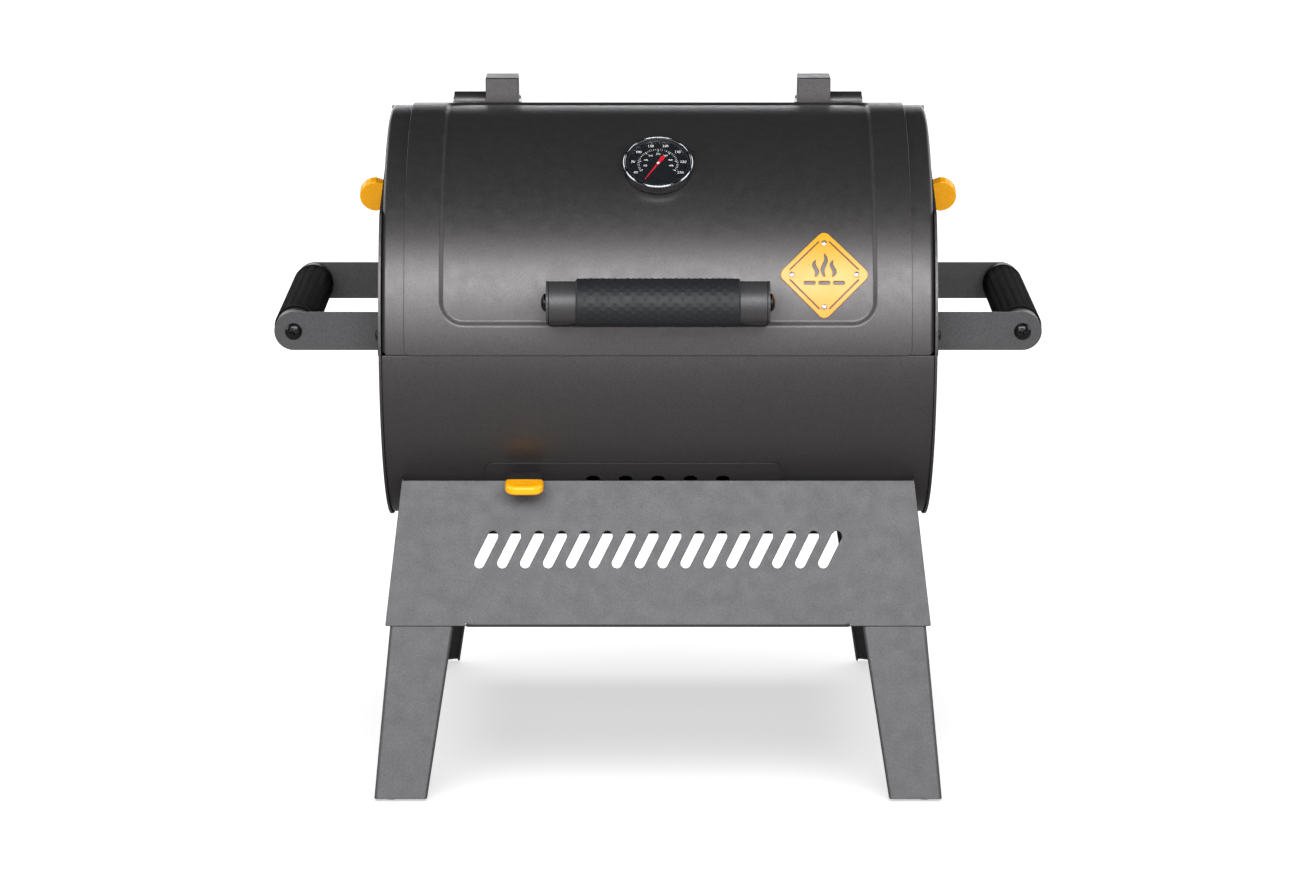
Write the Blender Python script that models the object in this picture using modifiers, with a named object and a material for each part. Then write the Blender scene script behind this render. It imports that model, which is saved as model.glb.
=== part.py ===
"""Tabletop barrel charcoal grill, built from separate named sub-parts.

Units are metres and +Z is up. The grill stands on Z = 0 with its front towards -Y. Places on the drum are
given by polar coordinates about the drum's axis: an angle of 0 degrees is the front, 90 degrees the top.
"""
import math

import bmesh
import bpy
from mathutils import Matrix, Vector

# ---- driving dimensions ------------------------------------------------------------------------
GAP = 0.0003
SHANK_RADIUS = 0.0029
SCREW_HOLE_RADIUS = 0.0034
DRUM_RADIUS = 0.180
DRUM_SHEET = 0.0015
DRUM_HALF_LENGTH = 0.2342
DRUM_HEIGHT = 0.387
BODY_FRONT_ANGLE = -2.4
BODY_REAR_ANGLE = -251.5

END_PLATE = 0.0021
END_PLATE_X = 0.2345
END_PLATE_RADIUS = 0.182
END_PLATE_FRONT_ANGLE = 36.9
END_PLATE_REAR_ANGLE = -252.3
END_FLANGE_X = 0.222

LID_SHEET = 0.0012
LID_RADIUS = 0.182
LID_HALF_LENGTH = 0.215
LID_FRONT_ANGLE = -1.9
LID_REAR_ANGLE = 106.5
LID_CORNER = 0.005
PANEL_DEPTH = 0.0022
PANEL_HALF_LENGTH = 0.186
PANEL_FRONT_ANGLE = 5.7
PANEL_REAR_ANGLE = 97.0
PANEL_CORNER = 0.022
PANEL_STEP = 0.0025
LID_END_X = 0.2340
LID_END_RADIUS = 0.180
LID_END_FLANGE = 0.029

HINGE_ANGLE = 112.0
HINGE_BARREL_RADIUS = 0.0085
HINGE_PIN_RADIUS = 0.0040
HINGE_INNER_X = 0.124
HINGE_OUTER_X = 0.153
HINGE_BARREL_END_X = 0.182
HINGE_TOP = 0.0245

LID_HANDLE_ANGLE = 12.1
LID_HANDLE_REACH = 0.2302
LID_HANDLE_TUBE_RADIUS = 0.01775
LID_HANDLE_GRIP_RADIUS = 0.0200
LID_HANDLE_TUBE_END = 0.0911
LID_HANDLE_GRIP_END = 0.0685
LID_HANDLE_BRACKET = 0.0018

THERMOMETER_ANGLE = 52.3
BEZEL_RADIUS = 0.030
STEM_RADIUS = 0.004
NEEDLE_REST = -149.0

BADGE_X = 0.1405
BADGE_ANGLE = 19.9
BADGE_SIDE = 0.0556
BADGE_CORNER = 0.006

SIDE_BAR_Y = 0.1188
SIDE_BAR = 0.0025
SIDE_BAR_HALF_HEIGHT = 0.0167
SIDE_BAR_FOOT = 0.030
SIDE_HANDLE_X = 0.3133
SIDE_HANDLE_RISE = 0.003
SIDE_TUBE_RADIUS = 0.0166
SIDE_GRIP_RADIUS = 0.0182
SIDE_GRIP_HALF_LENGTH = 0.100

VENT_ANGLE = -43.6
VENT_RADIUS = 0.0065
VENT_PITCH = 0.028
VENT_COUNT = 5
SLIDER_LEFT = -0.149
SLIDER_RIGHT = 0.106
SLIDER_TOP_ANGLE = -36.4
SLIDER_BOTTOM_ANGLE = -53.0
SLIDER_TRAVEL = 0.014
SLIDER_RIVET_ANGLE = -49.3
SLIDER_RIVET_X = (-0.100, 0.062)
SLIDER_TAB_X = -0.1145
SLIDER_TAB_ANGLE = -40.4
SLIDER_TAB_PITCH = 10.0
SLIDER_TAB_WIDTH = 0.029

DAMPER_RISE = 0.082
DAMPER_RADIUS = 0.038
DAMPER_HOLES = 5
DAMPER_HOLE_RADIUS = 0.007
DAMPER_HOLE_CIRCLE = 0.023
DAMPER_TAB_ANGLE = 24.0

PANEL_TOP_Y = -0.137
PANEL_TOP_Z = 0.2623
PANEL_BOTTOM_Z = 0.1432
PANEL_LEAN = 18.8
PANEL_SLOT_RISE = 0.003
PANEL_SLOT_RADIUS = 0.0045
PANEL_LIP = (0.330, 0.012)
STAND_SHEET = 0.0015
PANEL_TOP_HALF_WIDTH = 0.221
PANEL_BOTTOM_HALF_WIDTH = 0.2346
LEG_SHEET = 0.0020
LEG_OUTER_X = 0.2433
LEG_OUTER_TAPER = 0.0897
LEG_INNER_X = 0.1982
LEG_INNER_TAPER = 0.1565
REAR_LEG_EXTRA = 0.0085
LEG_TOP_Z = 0.225
LEG_BOTTOM_Z = 0.0022
LEG_DEPTH = 0.040
LEG_LIP = 0.010
FOOT_RADIUS = 0.010
FOOT_TAB_Z = 0.0060
FOOT_TAB_SIZE = (0.0235, 0.0252, LEG_SHEET)
FOOT_TAB_SHIFT = (0.0005, 0.0006)
FOOT_HOLE_RADIUS = 0.0033
FOOT_FROM_FLANGE = 0.0125
FOOT_FROM_FACE = 0.0135

GRATE_RISE = -0.020
TRAY_RISE = -0.112
TRAY_SIZE = (0.440, 0.210, 0.034)

# The lid handle's grip reaches furthest forward and the rear legs furthest back: the drum's axis is placed
# so that the middle of that reach lies on Y = 0.
LEAN_SLOPE = math.tan(math.radians(PANEL_LEAN))
PANEL_SLANT = (PANEL_TOP_Z - PANEL_BOTTOM_Z) / math.cos(math.radians(PANEL_LEAN))
HANDLE_FRONT_Y = -LID_HANDLE_REACH * math.cos(math.radians(LID_HANDLE_ANGLE)) - LID_HANDLE_GRIP_RADIUS
PANEL_SHEET_DEPTH = STAND_SHEET / math.cos(math.radians(PANEL_LEAN))
LEG_SETBACK = PANEL_SHEET_DEPTH + GAP
REAR_REACH = -PANEL_TOP_Y + LEAN_SLOPE * (PANEL_TOP_Z - LEG_BOTTOM_Z) - LEG_SETBACK
DRUM_Y = -(HANDLE_FRONT_Y + REAR_REACH) / 2

ROLL_STEP = 4.0


# ---- scene, collections and materials ----------------------------------------------------------
def clear_scene():
    """Remove every object that the file starts with."""
    for old in list(bpy.data.objects):
        bpy.data.objects.remove(old, do_unlink=True)


def new_collection(name):
    """A collection linked to the scene."""
    collection = bpy.data.collections.new(name)
    bpy.context.scene.collection.children.link(collection)
    return collection


def new_material(name, colour, metallic, roughness):
    """A Principled material with one colour."""
    made = bpy.data.materials.new(name)
    made.use_nodes = True
    shader = made.node_tree.nodes["Principled BSDF"]
    shader.inputs["Base Color"].default_value = (*colour, 1.0)
    shader.inputs["Metallic"].default_value = metallic
    shader.inputs["Roughness"].default_value = roughness
    made.diffuse_color = (*colour, 1.0)
    return made


# ---- places ------------------------------------------------------------------------------------
def drum_point(x, radius, angle):
    """Point at a radius and an angle in degrees about the drum's axis."""
    turn = math.radians(angle)
    return Vector((x, DRUM_Y - radius * math.cos(turn), DRUM_HEIGHT + radius * math.sin(turn)))


def outward(angle):
    """Direction away from the drum's axis at an angle in degrees."""
    turn = math.radians(angle)
    return Vector((0.0, -math.cos(turn), math.sin(turn)))


def upward(angle):
    """Direction along the drum's skin, from front to top, at an angle in degrees."""
    turn = math.radians(angle)
    return Vector((0.0, math.sin(turn), math.cos(turn)))


def place(origin, x_direction, y_direction):
    """Matrix that puts a local frame at an origin, its Z square to the two given directions."""
    x_axis = Vector(x_direction).normalized()
    y_axis = Vector(y_direction).normalized()
    z_axis = x_axis.cross(y_axis)
    turned_frame = Matrix((x_axis, y_axis, z_axis)).transposed().to_4x4()
    return Matrix.Translation(origin) @ turned_frame


def along(angle, radius):
    """Length of the drum's skin from the front to an angle in degrees."""
    return math.radians(angle) * radius


HINGE_RADIUS = DRUM_RADIUS + GAP + HINGE_BARREL_RADIUS
HINGE_POINT = drum_point(0.0, HINGE_RADIUS, HINGE_ANGLE)
LID_PANEL_RADIUS = LID_RADIUS - PANEL_DEPTH


# ---- outlines ----------------------------------------------------------------------------------
def arc(centre, radius, start, stop, steps):
    """Points along an arc, from one angle in degrees to another."""
    points = []
    for step in range(steps + 1):
        turn = math.radians(start + (stop - start) * step / steps)
        points.append((centre[0] + radius * math.cos(turn), centre[1] + radius * math.sin(turn)))
    return points


def circle(centre, radius, count=16):
    """Closed circle of points."""
    return arc(centre, radius, 0.0, 360.0, count)[:-1]


def rounded(corners, radius, steps=4):
    """Closed convex outline, counter-clockwise, with each corner rounded to one radius."""
    points = []
    for index, corner in enumerate(corners):
        here = Vector(corner)
        before = (Vector(corners[index - 1]) - here).normalized()
        after = (Vector(corners[(index + 1) % len(corners)]) - here).normalized()
        half_angle = before.angle(after) / 2
        middle = (before + after).normalized()
        centre = here + middle * (radius / math.sin(half_angle))
        sweep = math.pi / 2 - half_angle
        for step in range(steps + 1):
            turn = -sweep + 2 * sweep * step / steps
            spoke = Matrix.Rotation(turn, 2) @ (-middle)
            points.append(tuple(centre + spoke * radius))
    return points


def rectangle(x_min, x_max, y_min, y_max):
    """Four corners, counter-clockwise."""
    return [(x_min, y_min), (x_max, y_min), (x_max, y_max), (x_min, y_max)]


def slot(centre, half_length, radius, steps=5):
    """Closed slot along X with round ends."""
    right = arc((centre[0] + half_length, centre[1]), radius, -90.0, 90.0, steps)
    left = arc((centre[0] - half_length, centre[1]), radius, 90.0, 270.0, steps)
    return right + left


# ---- building tools ----------------------------------------------------------------------------
class Workshop:
    """Makes objects and puts each one in its collection."""

    def __init__(self):
        """Make the collections for the parts and for the shapes that cut or join them."""
        self.parts = new_collection("barrel_grill")
        self.tools = new_collection("cutters")

    def add(self, name, mesh, material=None, parent=None, tool=False):
        """Object for a mesh: a sub-part with its material, or a hidden shape used by a Boolean."""
        made = bpy.data.objects.new(name, mesh)
        if tool:
            self.tools.objects.link(made)
            made.hide_render = True
            made.display_type = "WIRE"
            return made
        self.parts.objects.link(made)
        made.data.materials.append(material)
        made.parent = parent
        return made


def move_origin(made, origin):
    """Put a sub-part's origin at a point and leave its shape where it is."""
    made.data.transform(Matrix.Translation(-Vector(origin)))
    made.location = origin


def combine(made, other, operation):
    """Join a shape to a sub-part or cut it away."""
    modifier = made.modifiers.new(operation.lower(), "BOOLEAN")
    modifier.operation = operation
    modifier.solver = "EXACT"
    modifier.object = other


def thicken(made, thickness, offset=-1.0):
    """Give an open sheet its thickness, below its surface by default."""
    modifier = made.modifiers.new("sheet thickness", "SOLIDIFY")
    modifier.thickness = thickness
    modifier.offset = offset
    modifier.use_even_offset = True


def shade(mesh):
    """Smooth shading, with the real edges kept sharp."""
    mesh.shade_smooth()
    mesh.set_sharp_from_angle(angle=math.radians(35.0))
    return mesh


def plate_mesh(outline, holes, thickness, matrix):
    """Flat plate from a closed outline with holes, placed with its middle plane on the matrix's XY plane."""
    millimetres = 1000.0
    curve = bpy.data.curves.new("outline", "CURVE")
    curve.dimensions = "2D"
    curve.fill_mode = "BOTH"
    curve.extrude = thickness * millimetres / 2
    for loop in [outline, *holes]:
        spline = curve.splines.new("POLY")
        spline.points.add(len(loop) - 1)
        for point, (x, y) in zip(spline.points, loop):
            point.co = (x * millimetres, y * millimetres, 0.0, 1.0)
        spline.use_cyclic_u = True
    holder = bpy.data.objects.new("outline", curve)
    bpy.context.scene.collection.objects.link(holder)
    evaluated = holder.evaluated_get(bpy.context.evaluated_depsgraph_get())
    mesh = bpy.data.meshes.new_from_object(evaluated)
    bpy.data.objects.remove(holder, do_unlink=True)
    mesh.materials.clear()
    work = bmesh.new()
    work.from_mesh(mesh)
    bmesh.ops.remove_doubles(work, verts=work.verts, dist=0.001)
    work.to_mesh(mesh)
    work.free()
    mesh.transform(Matrix.Scale(1.0 / millimetres, 4))
    mesh.transform(matrix)
    return shade(mesh)


def draw_loop(work, loop, height):
    """Closed loop of edges in a bmesh, in millimetres."""
    verts = [work.verts.new((x * 1000.0, y * 1000.0, height * 1000.0)) for x, y in loop]
    return [work.edges.new((verts[index - 1], verts[index])) for index in range(len(verts))]


def rolled_mesh(levels, holes, radius, step=ROLL_STEP):
    """Open sheet rolled onto the drum.

    Each level is a closed loop of (X, length of skin) with its height over the radius; the sheet runs from the
    first loop in to the next, and the last loop is filled, less its holes.
    """
    work = bmesh.new()
    loops = [draw_loop(work, loop, 0.0) for loop, _ in levels]
    heights = {}
    for edges, (_, height) in zip(loops, levels):
        for edge in edges:
            heights.update({vert: height for vert in edge.verts})
    inner = []
    for loop in holes:
        edges = draw_loop(work, loop, 0.0)
        inner.extend(edges)
        for edge in edges:
            heights.update({vert: levels[-1][1] for vert in edge.verts})
    rings = [loops[index] + loops[index + 1] for index in range(len(loops) - 1)]
    rings.append(loops[-1] + inner)
    for ring in rings:
        bmesh.ops.triangle_fill(work, use_beauty=True, use_dissolve=True, edges=ring)
    for vert in work.verts:
        vert.co.z = heights[vert] * 1000.0
    strip = along(step, radius) * 1000.0
    low = math.floor(min(vert.co.y for vert in work.verts) / strip) + 1
    high = math.ceil(max(vert.co.y for vert in work.verts) / strip)
    for index in range(low, high):
        everything = work.verts[:] + work.edges[:] + work.faces[:]
        bmesh.ops.bisect_plane(work, geom=everything, dist=0.01, plane_co=(0.0, index * strip, 0.0),
                               plane_no=(0.0, 1.0, 0.0))
    for vert in work.verts:
        angle = math.degrees(vert.co.y / 1000.0 / radius)
        vert.co = drum_point(vert.co.x / 1000.0, radius + vert.co.z / 1000.0, angle)
    bmesh.ops.recalc_face_normals(work, faces=work.faces)
    work.faces.ensure_lookup_table()
    sample = work.faces[0]
    centre = sample.calc_center_median() - Vector((0.0, DRUM_Y, DRUM_HEIGHT))
    if sample.normal.dot(Vector((0.0, centre.y, centre.z))) < 0.0:
        bmesh.ops.reverse_faces(work, faces=work.faces)
    mesh = bpy.data.meshes.new("rolled sheet")
    work.to_mesh(mesh)
    work.free()
    return shade(mesh)


def profile_mesh(profile, closed):
    """Edges of a turned shape's profile, as (radius, height) in its own XZ plane."""
    work = bmesh.new()
    verts = [work.verts.new((radius, 0.0, height)) for radius, height in profile]
    for index in range(0 if closed else 1, len(verts)):
        work.edges.new((verts[index - 1], verts[index]))
    mesh = bpy.data.meshes.new("profile")
    work.to_mesh(mesh)
    work.free()
    return mesh


def turn_about_z(made, steps):
    """Screw modifier that turns a profile once about its Z axis."""
    modifier = made.modifiers.new("turned", "SCREW")
    modifier.angle = 2 * math.pi
    modifier.steps = steps
    modifier.render_steps = steps
    modifier.axis = "Z"
    modifier.use_merge_vertices = True
    modifier.merge_threshold = 0.00001
    modifier.use_smooth_shade = True


def box_mesh(size, matrix):
    """Box of a given size about the matrix's origin."""
    work = bmesh.new()
    bmesh.ops.create_cube(work, size=1.0)
    bmesh.ops.scale(work, vec=Vector(size), verts=work.verts)
    bmesh.ops.transform(work, matrix=matrix, verts=work.verts)
    mesh = bpy.data.meshes.new("box")
    work.to_mesh(mesh)
    work.free()
    return mesh


def round_bar_mesh(radius, start, stop, steps=16):
    """Cylinder between two points."""
    run = Vector(stop) - Vector(start)
    work = bmesh.new()
    bmesh.ops.create_cone(work, cap_ends=True, segments=steps, radius1=radius, radius2=radius, depth=run.length)
    turn = run.to_track_quat("Z", "Y").to_matrix().to_4x4()
    middle = Matrix.Translation((Vector(start) + Vector(stop)) / 2)
    bmesh.ops.transform(work, matrix=middle @ turn, verts=work.verts)
    mesh = bpy.data.meshes.new("round bar")
    work.to_mesh(mesh)
    work.free()
    return mesh


# ---- the drum's body ---------------------------------------------------------------------------
def build_drum_shell(shop, paint):
    """Lower shell: one rolled sheet with its air holes and the holes for the slider's rivets."""
    outline = rectangle(-DRUM_HALF_LENGTH, DRUM_HALF_LENGTH,
                        along(BODY_REAR_ANGLE, DRUM_RADIUS), along(BODY_FRONT_ANGLE, DRUM_RADIUS))
    holes = [circle((x, along(VENT_ANGLE, DRUM_RADIUS)), VENT_RADIUS, 10) for x in vent_places()]
    rivet_row = along(SLIDER_RIVET_ANGLE, DRUM_RADIUS)
    holes += [circle((x, rivet_row), SHANK_RADIUS, 8) for x in SLIDER_RIVET_X]
    shell = shop.add("drum_shell", rolled_mesh([(outline, 0.0)], holes, DRUM_RADIUS), paint)
    thicken(shell, DRUM_SHEET)


def vent_places():
    """X of each air hole."""
    return [(index - (VENT_COUNT - 1) / 2) * VENT_PITCH for index in range(VENT_COUNT)]


def segment_outline(radius, start, stop):
    """Closed outline in (Y, Z) of the drum's disc between an arc and its chord."""
    count = round((stop - start) / ROLL_STEP)
    points = []
    for index in range(count + 1):
        spot = drum_point(0.0, radius, start + (stop - start) * index / count)
        points.append((spot.y, spot.z))
    return points


def damper_hole_places():
    """Centres of a damper's holes about its pivot, as (Y, Z)."""
    return arc((0.0, 0.0), DAMPER_HOLE_CIRCLE, 0.0, 360.0, DAMPER_HOLES)[:-1]


def build_body_end(shop, paint, side, sign):
    """End plate with its inner flange, its holes and the two ledges that carry the grate and the tray."""
    pivot = (DRUM_Y, DRUM_HEIGHT + DAMPER_RISE)
    holes = [circle((pivot[0] + y, pivot[1] + z), DAMPER_HOLE_RADIUS, 10) for y, z in damper_hole_places()]
    holes.append(circle(pivot, SHANK_RADIUS, 8))
    outline = segment_outline(END_PLATE_RADIUS, END_PLATE_REAR_ANGLE, END_PLATE_FRONT_ANGLE)
    middle_x = sign * (END_PLATE_X + END_PLATE / 2)
    plane = place((middle_x, 0.0, 0.0), (0, 1, 0), (0, 0, 1))
    plate = shop.add(f"body_end_{side}", plate_mesh(outline, holes, END_PLATE, plane), paint)
    flange_radius = DRUM_RADIUS - DRUM_SHEET - GAP
    inner_x, outer_x = sorted((sign * END_FLANGE_X, sign * (END_PLATE_X + END_PLATE / 4)))
    strip = rectangle(inner_x, outer_x, along(BODY_REAR_ANGLE + 2.0, flange_radius), along(-5.0, flange_radius))
    flange = shop.add(f"flange_{side}", rolled_mesh([(strip, 0.0)], [], flange_radius, 6.0), tool=True)
    thicken(flange, DRUM_SHEET)
    combine(plate, flange, "UNION")
    ledge_width = 0.024
    ledge_sheet = 0.002
    for label, rise, half_length in (("grate", GRATE_RISE, 0.110), ("tray", TRAY_RISE, 0.070)):
        ledge_x = END_PLATE_X + END_PLATE / 4 - ledge_width / 2
        centre = (sign * ledge_x, DRUM_Y, DRUM_HEIGHT + rise - ledge_sheet / 2 - GAP)
        ledge = box_mesh((ledge_width, 2 * half_length, ledge_sheet), Matrix.Translation(centre))
        combine(plate, shop.add(f"{label}_ledge_{side}", ledge, tool=True), "UNION")


def build_hinge_barrel(shop, paint, side, sign):
    """Tube welded to the top rear of the drum, bored for the hinge pin."""
    half = (HINGE_BARREL_END_X - HINGE_OUTER_X - GAP) / 2
    bore = HINGE_PIN_RADIUS + 0.0004
    profile = [(HINGE_BARREL_RADIUS, half), (HINGE_BARREL_RADIUS, -half), (bore, -half), (bore, half)]
    barrel = shop.add(f"hinge_barrel_{side}", profile_mesh(profile, True), paint)
    turn_about_z(barrel, 16)
    barrel.location = HINGE_POINT + Vector((sign * (HINGE_BARREL_END_X - half), 0.0, 0.0))
    barrel.rotation_euler = (0.0, math.pi / 2, 0.0)


# ---- the stand ---------------------------------------------------------------------------------
def panel_y(height, setback=0.0):
    """Y, from the drum's axis, of the front panel's face at a height."""
    return PANEL_TOP_Y - LEAN_SLOPE * (PANEL_TOP_Z - height) + setback


def vent_slot_row():
    """Slanted slots cut through the front panel, as closed loops along the panel."""
    count = 16
    half_run = 0.148
    slant = 0.0065
    half_height = 0.0130
    lean = math.atan2(slant, half_height)
    loops = []
    for index in range(count):
        x = -half_run + 2 * half_run * index / (count - 1)
        loop = []
        for along_slot, across in slot((0.0, 0.0), half_height, PANEL_SLOT_RADIUS, 3):
            turned_x = x + along_slot * math.sin(lean) - across * math.cos(lean)
            turned_y = along_slot * math.cos(lean) + across * math.sin(lean)
            loop.append((turned_x, turned_y + PANEL_SLOT_RISE))
        loops.append(loop)
    return loops


def build_base_panel(shop, paint, side, sign, holes):
    """Leaning panel of the stand, with the lip along its bottom edge turned in."""
    height = (PANEL_TOP_Z + PANEL_BOTTOM_Z) / 2
    lean = math.radians(PANEL_LEAN)
    normal = Vector((0.0, -math.cos(lean), math.sin(lean)))
    up = Vector((0.0, math.sin(lean), math.cos(lean)))
    centre = Vector((0.0, panel_y(height), height)) - normal * (STAND_SHEET / 2)
    half = PANEL_SLANT / 2
    outline = [(-PANEL_BOTTOM_HALF_WIDTH, -half), (PANEL_BOTTOM_HALF_WIDTH, -half),
               (PANEL_TOP_HALF_WIDTH, half), (-PANEL_TOP_HALF_WIDTH, half)]
    turn = Matrix.Rotation(0.0 if sign > 0 else math.pi, 4, "Z")
    matrix = Matrix.Translation((0.0, DRUM_Y, 0.0)) @ turn @ place(centre, (1, 0, 0), up)
    panel = shop.add(f"base_panel_{side}", plate_mesh(outline, holes, STAND_SHEET, matrix), paint)
    lip_width, lip_depth = PANEL_LIP
    lip_matrix = matrix @ Matrix.Translation((0.0, -half + STAND_SHEET / 2, -lip_depth / 2))
    lip = shop.add(f"panel_lip_{side}", box_mesh((lip_width, STAND_SHEET, lip_depth), lip_matrix), tool=True)
    combine(panel, lip, "UNION")


def build_base_side(shop, paint, saddle, side, sign):
    """Side plate of the stand, standing between the two panels and cut to the drum's curve."""
    spread = (PANEL_BOTTOM_HALF_WIDTH - PANEL_TOP_HALF_WIDTH) / (PANEL_TOP_Z - PANEL_BOTTOM_Z)
    lean = math.atan(spread)
    up = Vector((-sign * math.sin(lean), 0.0, math.cos(lean)))
    half = (PANEL_TOP_Z - PANEL_BOTTOM_Z) / 2 / math.cos(lean)
    height = (PANEL_TOP_Z + PANEL_BOTTOM_Z) / 2
    middle_x = (PANEL_TOP_HALF_WIDTH + PANEL_BOTTOM_HALF_WIDTH) / 2 - STAND_SHEET / 2 / math.cos(lean)
    inner = PANEL_SHEET_DEPTH + GAP
    top_y = -panel_y(PANEL_TOP_Z, inner)
    bottom_y = -panel_y(PANEL_BOTTOM_Z, inner)
    outline = [(-bottom_y, -half), (bottom_y, -half), (top_y, half), (-top_y, half)]
    matrix = place((sign * middle_x, DRUM_Y, height), (0, sign, 0), up)
    plate = shop.add(f"base_side_{side}", plate_mesh(outline, [], STAND_SHEET, matrix), paint)
    combine(plate, saddle, "DIFFERENCE")


def leg_section(height, extra):
    """Channel section of a right leg at a height, its face wider inwards by the extra: flange, face and lip."""
    outer = LEG_OUTER_X - LEG_OUTER_TAPER * height
    inner = LEG_INNER_X - LEG_INNER_TAPER * height - extra
    face = panel_y(height, LEG_SETBACK)
    wall = LEG_SHEET
    return [(outer, face), (outer, face + LEG_DEPTH), (outer - wall, face + LEG_DEPTH), (outer - wall, face + wall),
            (inner + wall, face + wall), (inner + wall, face + LEG_LIP), (inner, face + LEG_LIP), (inner, face)]


def build_leg(shop, paint, name, x_sign, y_sign, extra):
    """Folded channel leg, lofted from its bottom section to its top one, with the tab that holds the foot."""
    work = bmesh.new()
    low_section, high_section = (leg_section(height, extra) for height in (LEG_BOTTOM_Z, LEG_TOP_Z))
    bottom = [work.verts.new((x, y, LEG_BOTTOM_Z)) for x, y in low_section]
    face = work.faces.new(bottom)
    raised = bmesh.ops.extrude_face_region(work, geom=[face])
    top = [item for item in raised["geom"] if isinstance(item, bmesh.types.BMVert)]
    targets = {}
    for low, high in zip(low_section, high_section):
        targets[(round(low[0], 6), round(low[1], 6))] = high
    for vert in top:
        x, y = targets[(round(vert.co.x, 6), round(vert.co.y, 6))]
        vert.co = (x, y, LEG_TOP_Z)
    mirror = Matrix.Diagonal((x_sign, -y_sign, 1.0, 1.0))
    bmesh.ops.transform(work, matrix=Matrix.Translation((0.0, DRUM_Y, 0.0)) @ mirror, verts=work.verts)
    bmesh.ops.recalc_face_normals(work, faces=work.faces)
    mesh = bpy.data.meshes.new("leg")
    work.to_mesh(mesh)
    work.free()
    leg = shop.add(name, shade(mesh), paint)
    foot = foot_place(x_sign, y_sign)
    shift_x, shift_y = FOOT_TAB_SHIFT
    tab_centre = (foot.x + x_sign * shift_x, foot.y + y_sign * shift_y, FOOT_TAB_Z)
    tab = shop.add(f"tab_{name}", box_mesh(FOOT_TAB_SIZE, Matrix.Translation(tab_centre)), tool=True)
    combine(leg, tab, "UNION")
    hole = round_bar_mesh(FOOT_HOLE_RADIUS, foot + Vector((0, 0, 0.002)), foot + Vector((0, 0, 0.014)), 12)
    combine(leg, shop.add(f"foot_hole_{name}", hole, tool=True), "DIFFERENCE")


def foot_place(x_sign, y_sign):
    """Point on the floor under a leg's foot."""
    outer_face_x = LEG_OUTER_X - LEG_SHEET
    face_y = -panel_y(LEG_BOTTOM_Z, LEG_SETBACK) - LEG_SHEET
    return Vector((x_sign * (outer_face_x - FOOT_FROM_FLANGE), DRUM_Y + y_sign * (face_y - FOOT_FROM_FACE), 0.0))


def build_foot(shop, rubber, name, x_sign, y_sign):
    """Rubber foot pushed through the leg's tab: pad below, neck and barb above."""
    under = FOOT_TAB_Z - LEG_SHEET / 2 - GAP
    over = FOOT_TAB_Z + LEG_SHEET / 2 + GAP
    barb = [(0.0, over + 0.004), (0.0030, over + 0.0035), (0.0045, over), (SHANK_RADIUS, over)]
    profile = [*barb, (SHANK_RADIUS, under),
               (FOOT_RADIUS - 0.0008, under), (FOOT_RADIUS, under - 0.0008), (FOOT_RADIUS - 0.0005, 0.0), (0.0, 0.0)]
    foot = shop.add(name, profile_mesh(profile, False), rubber)
    turn_about_z(foot, 14)
    foot.location = foot_place(x_sign, y_sign)


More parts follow.
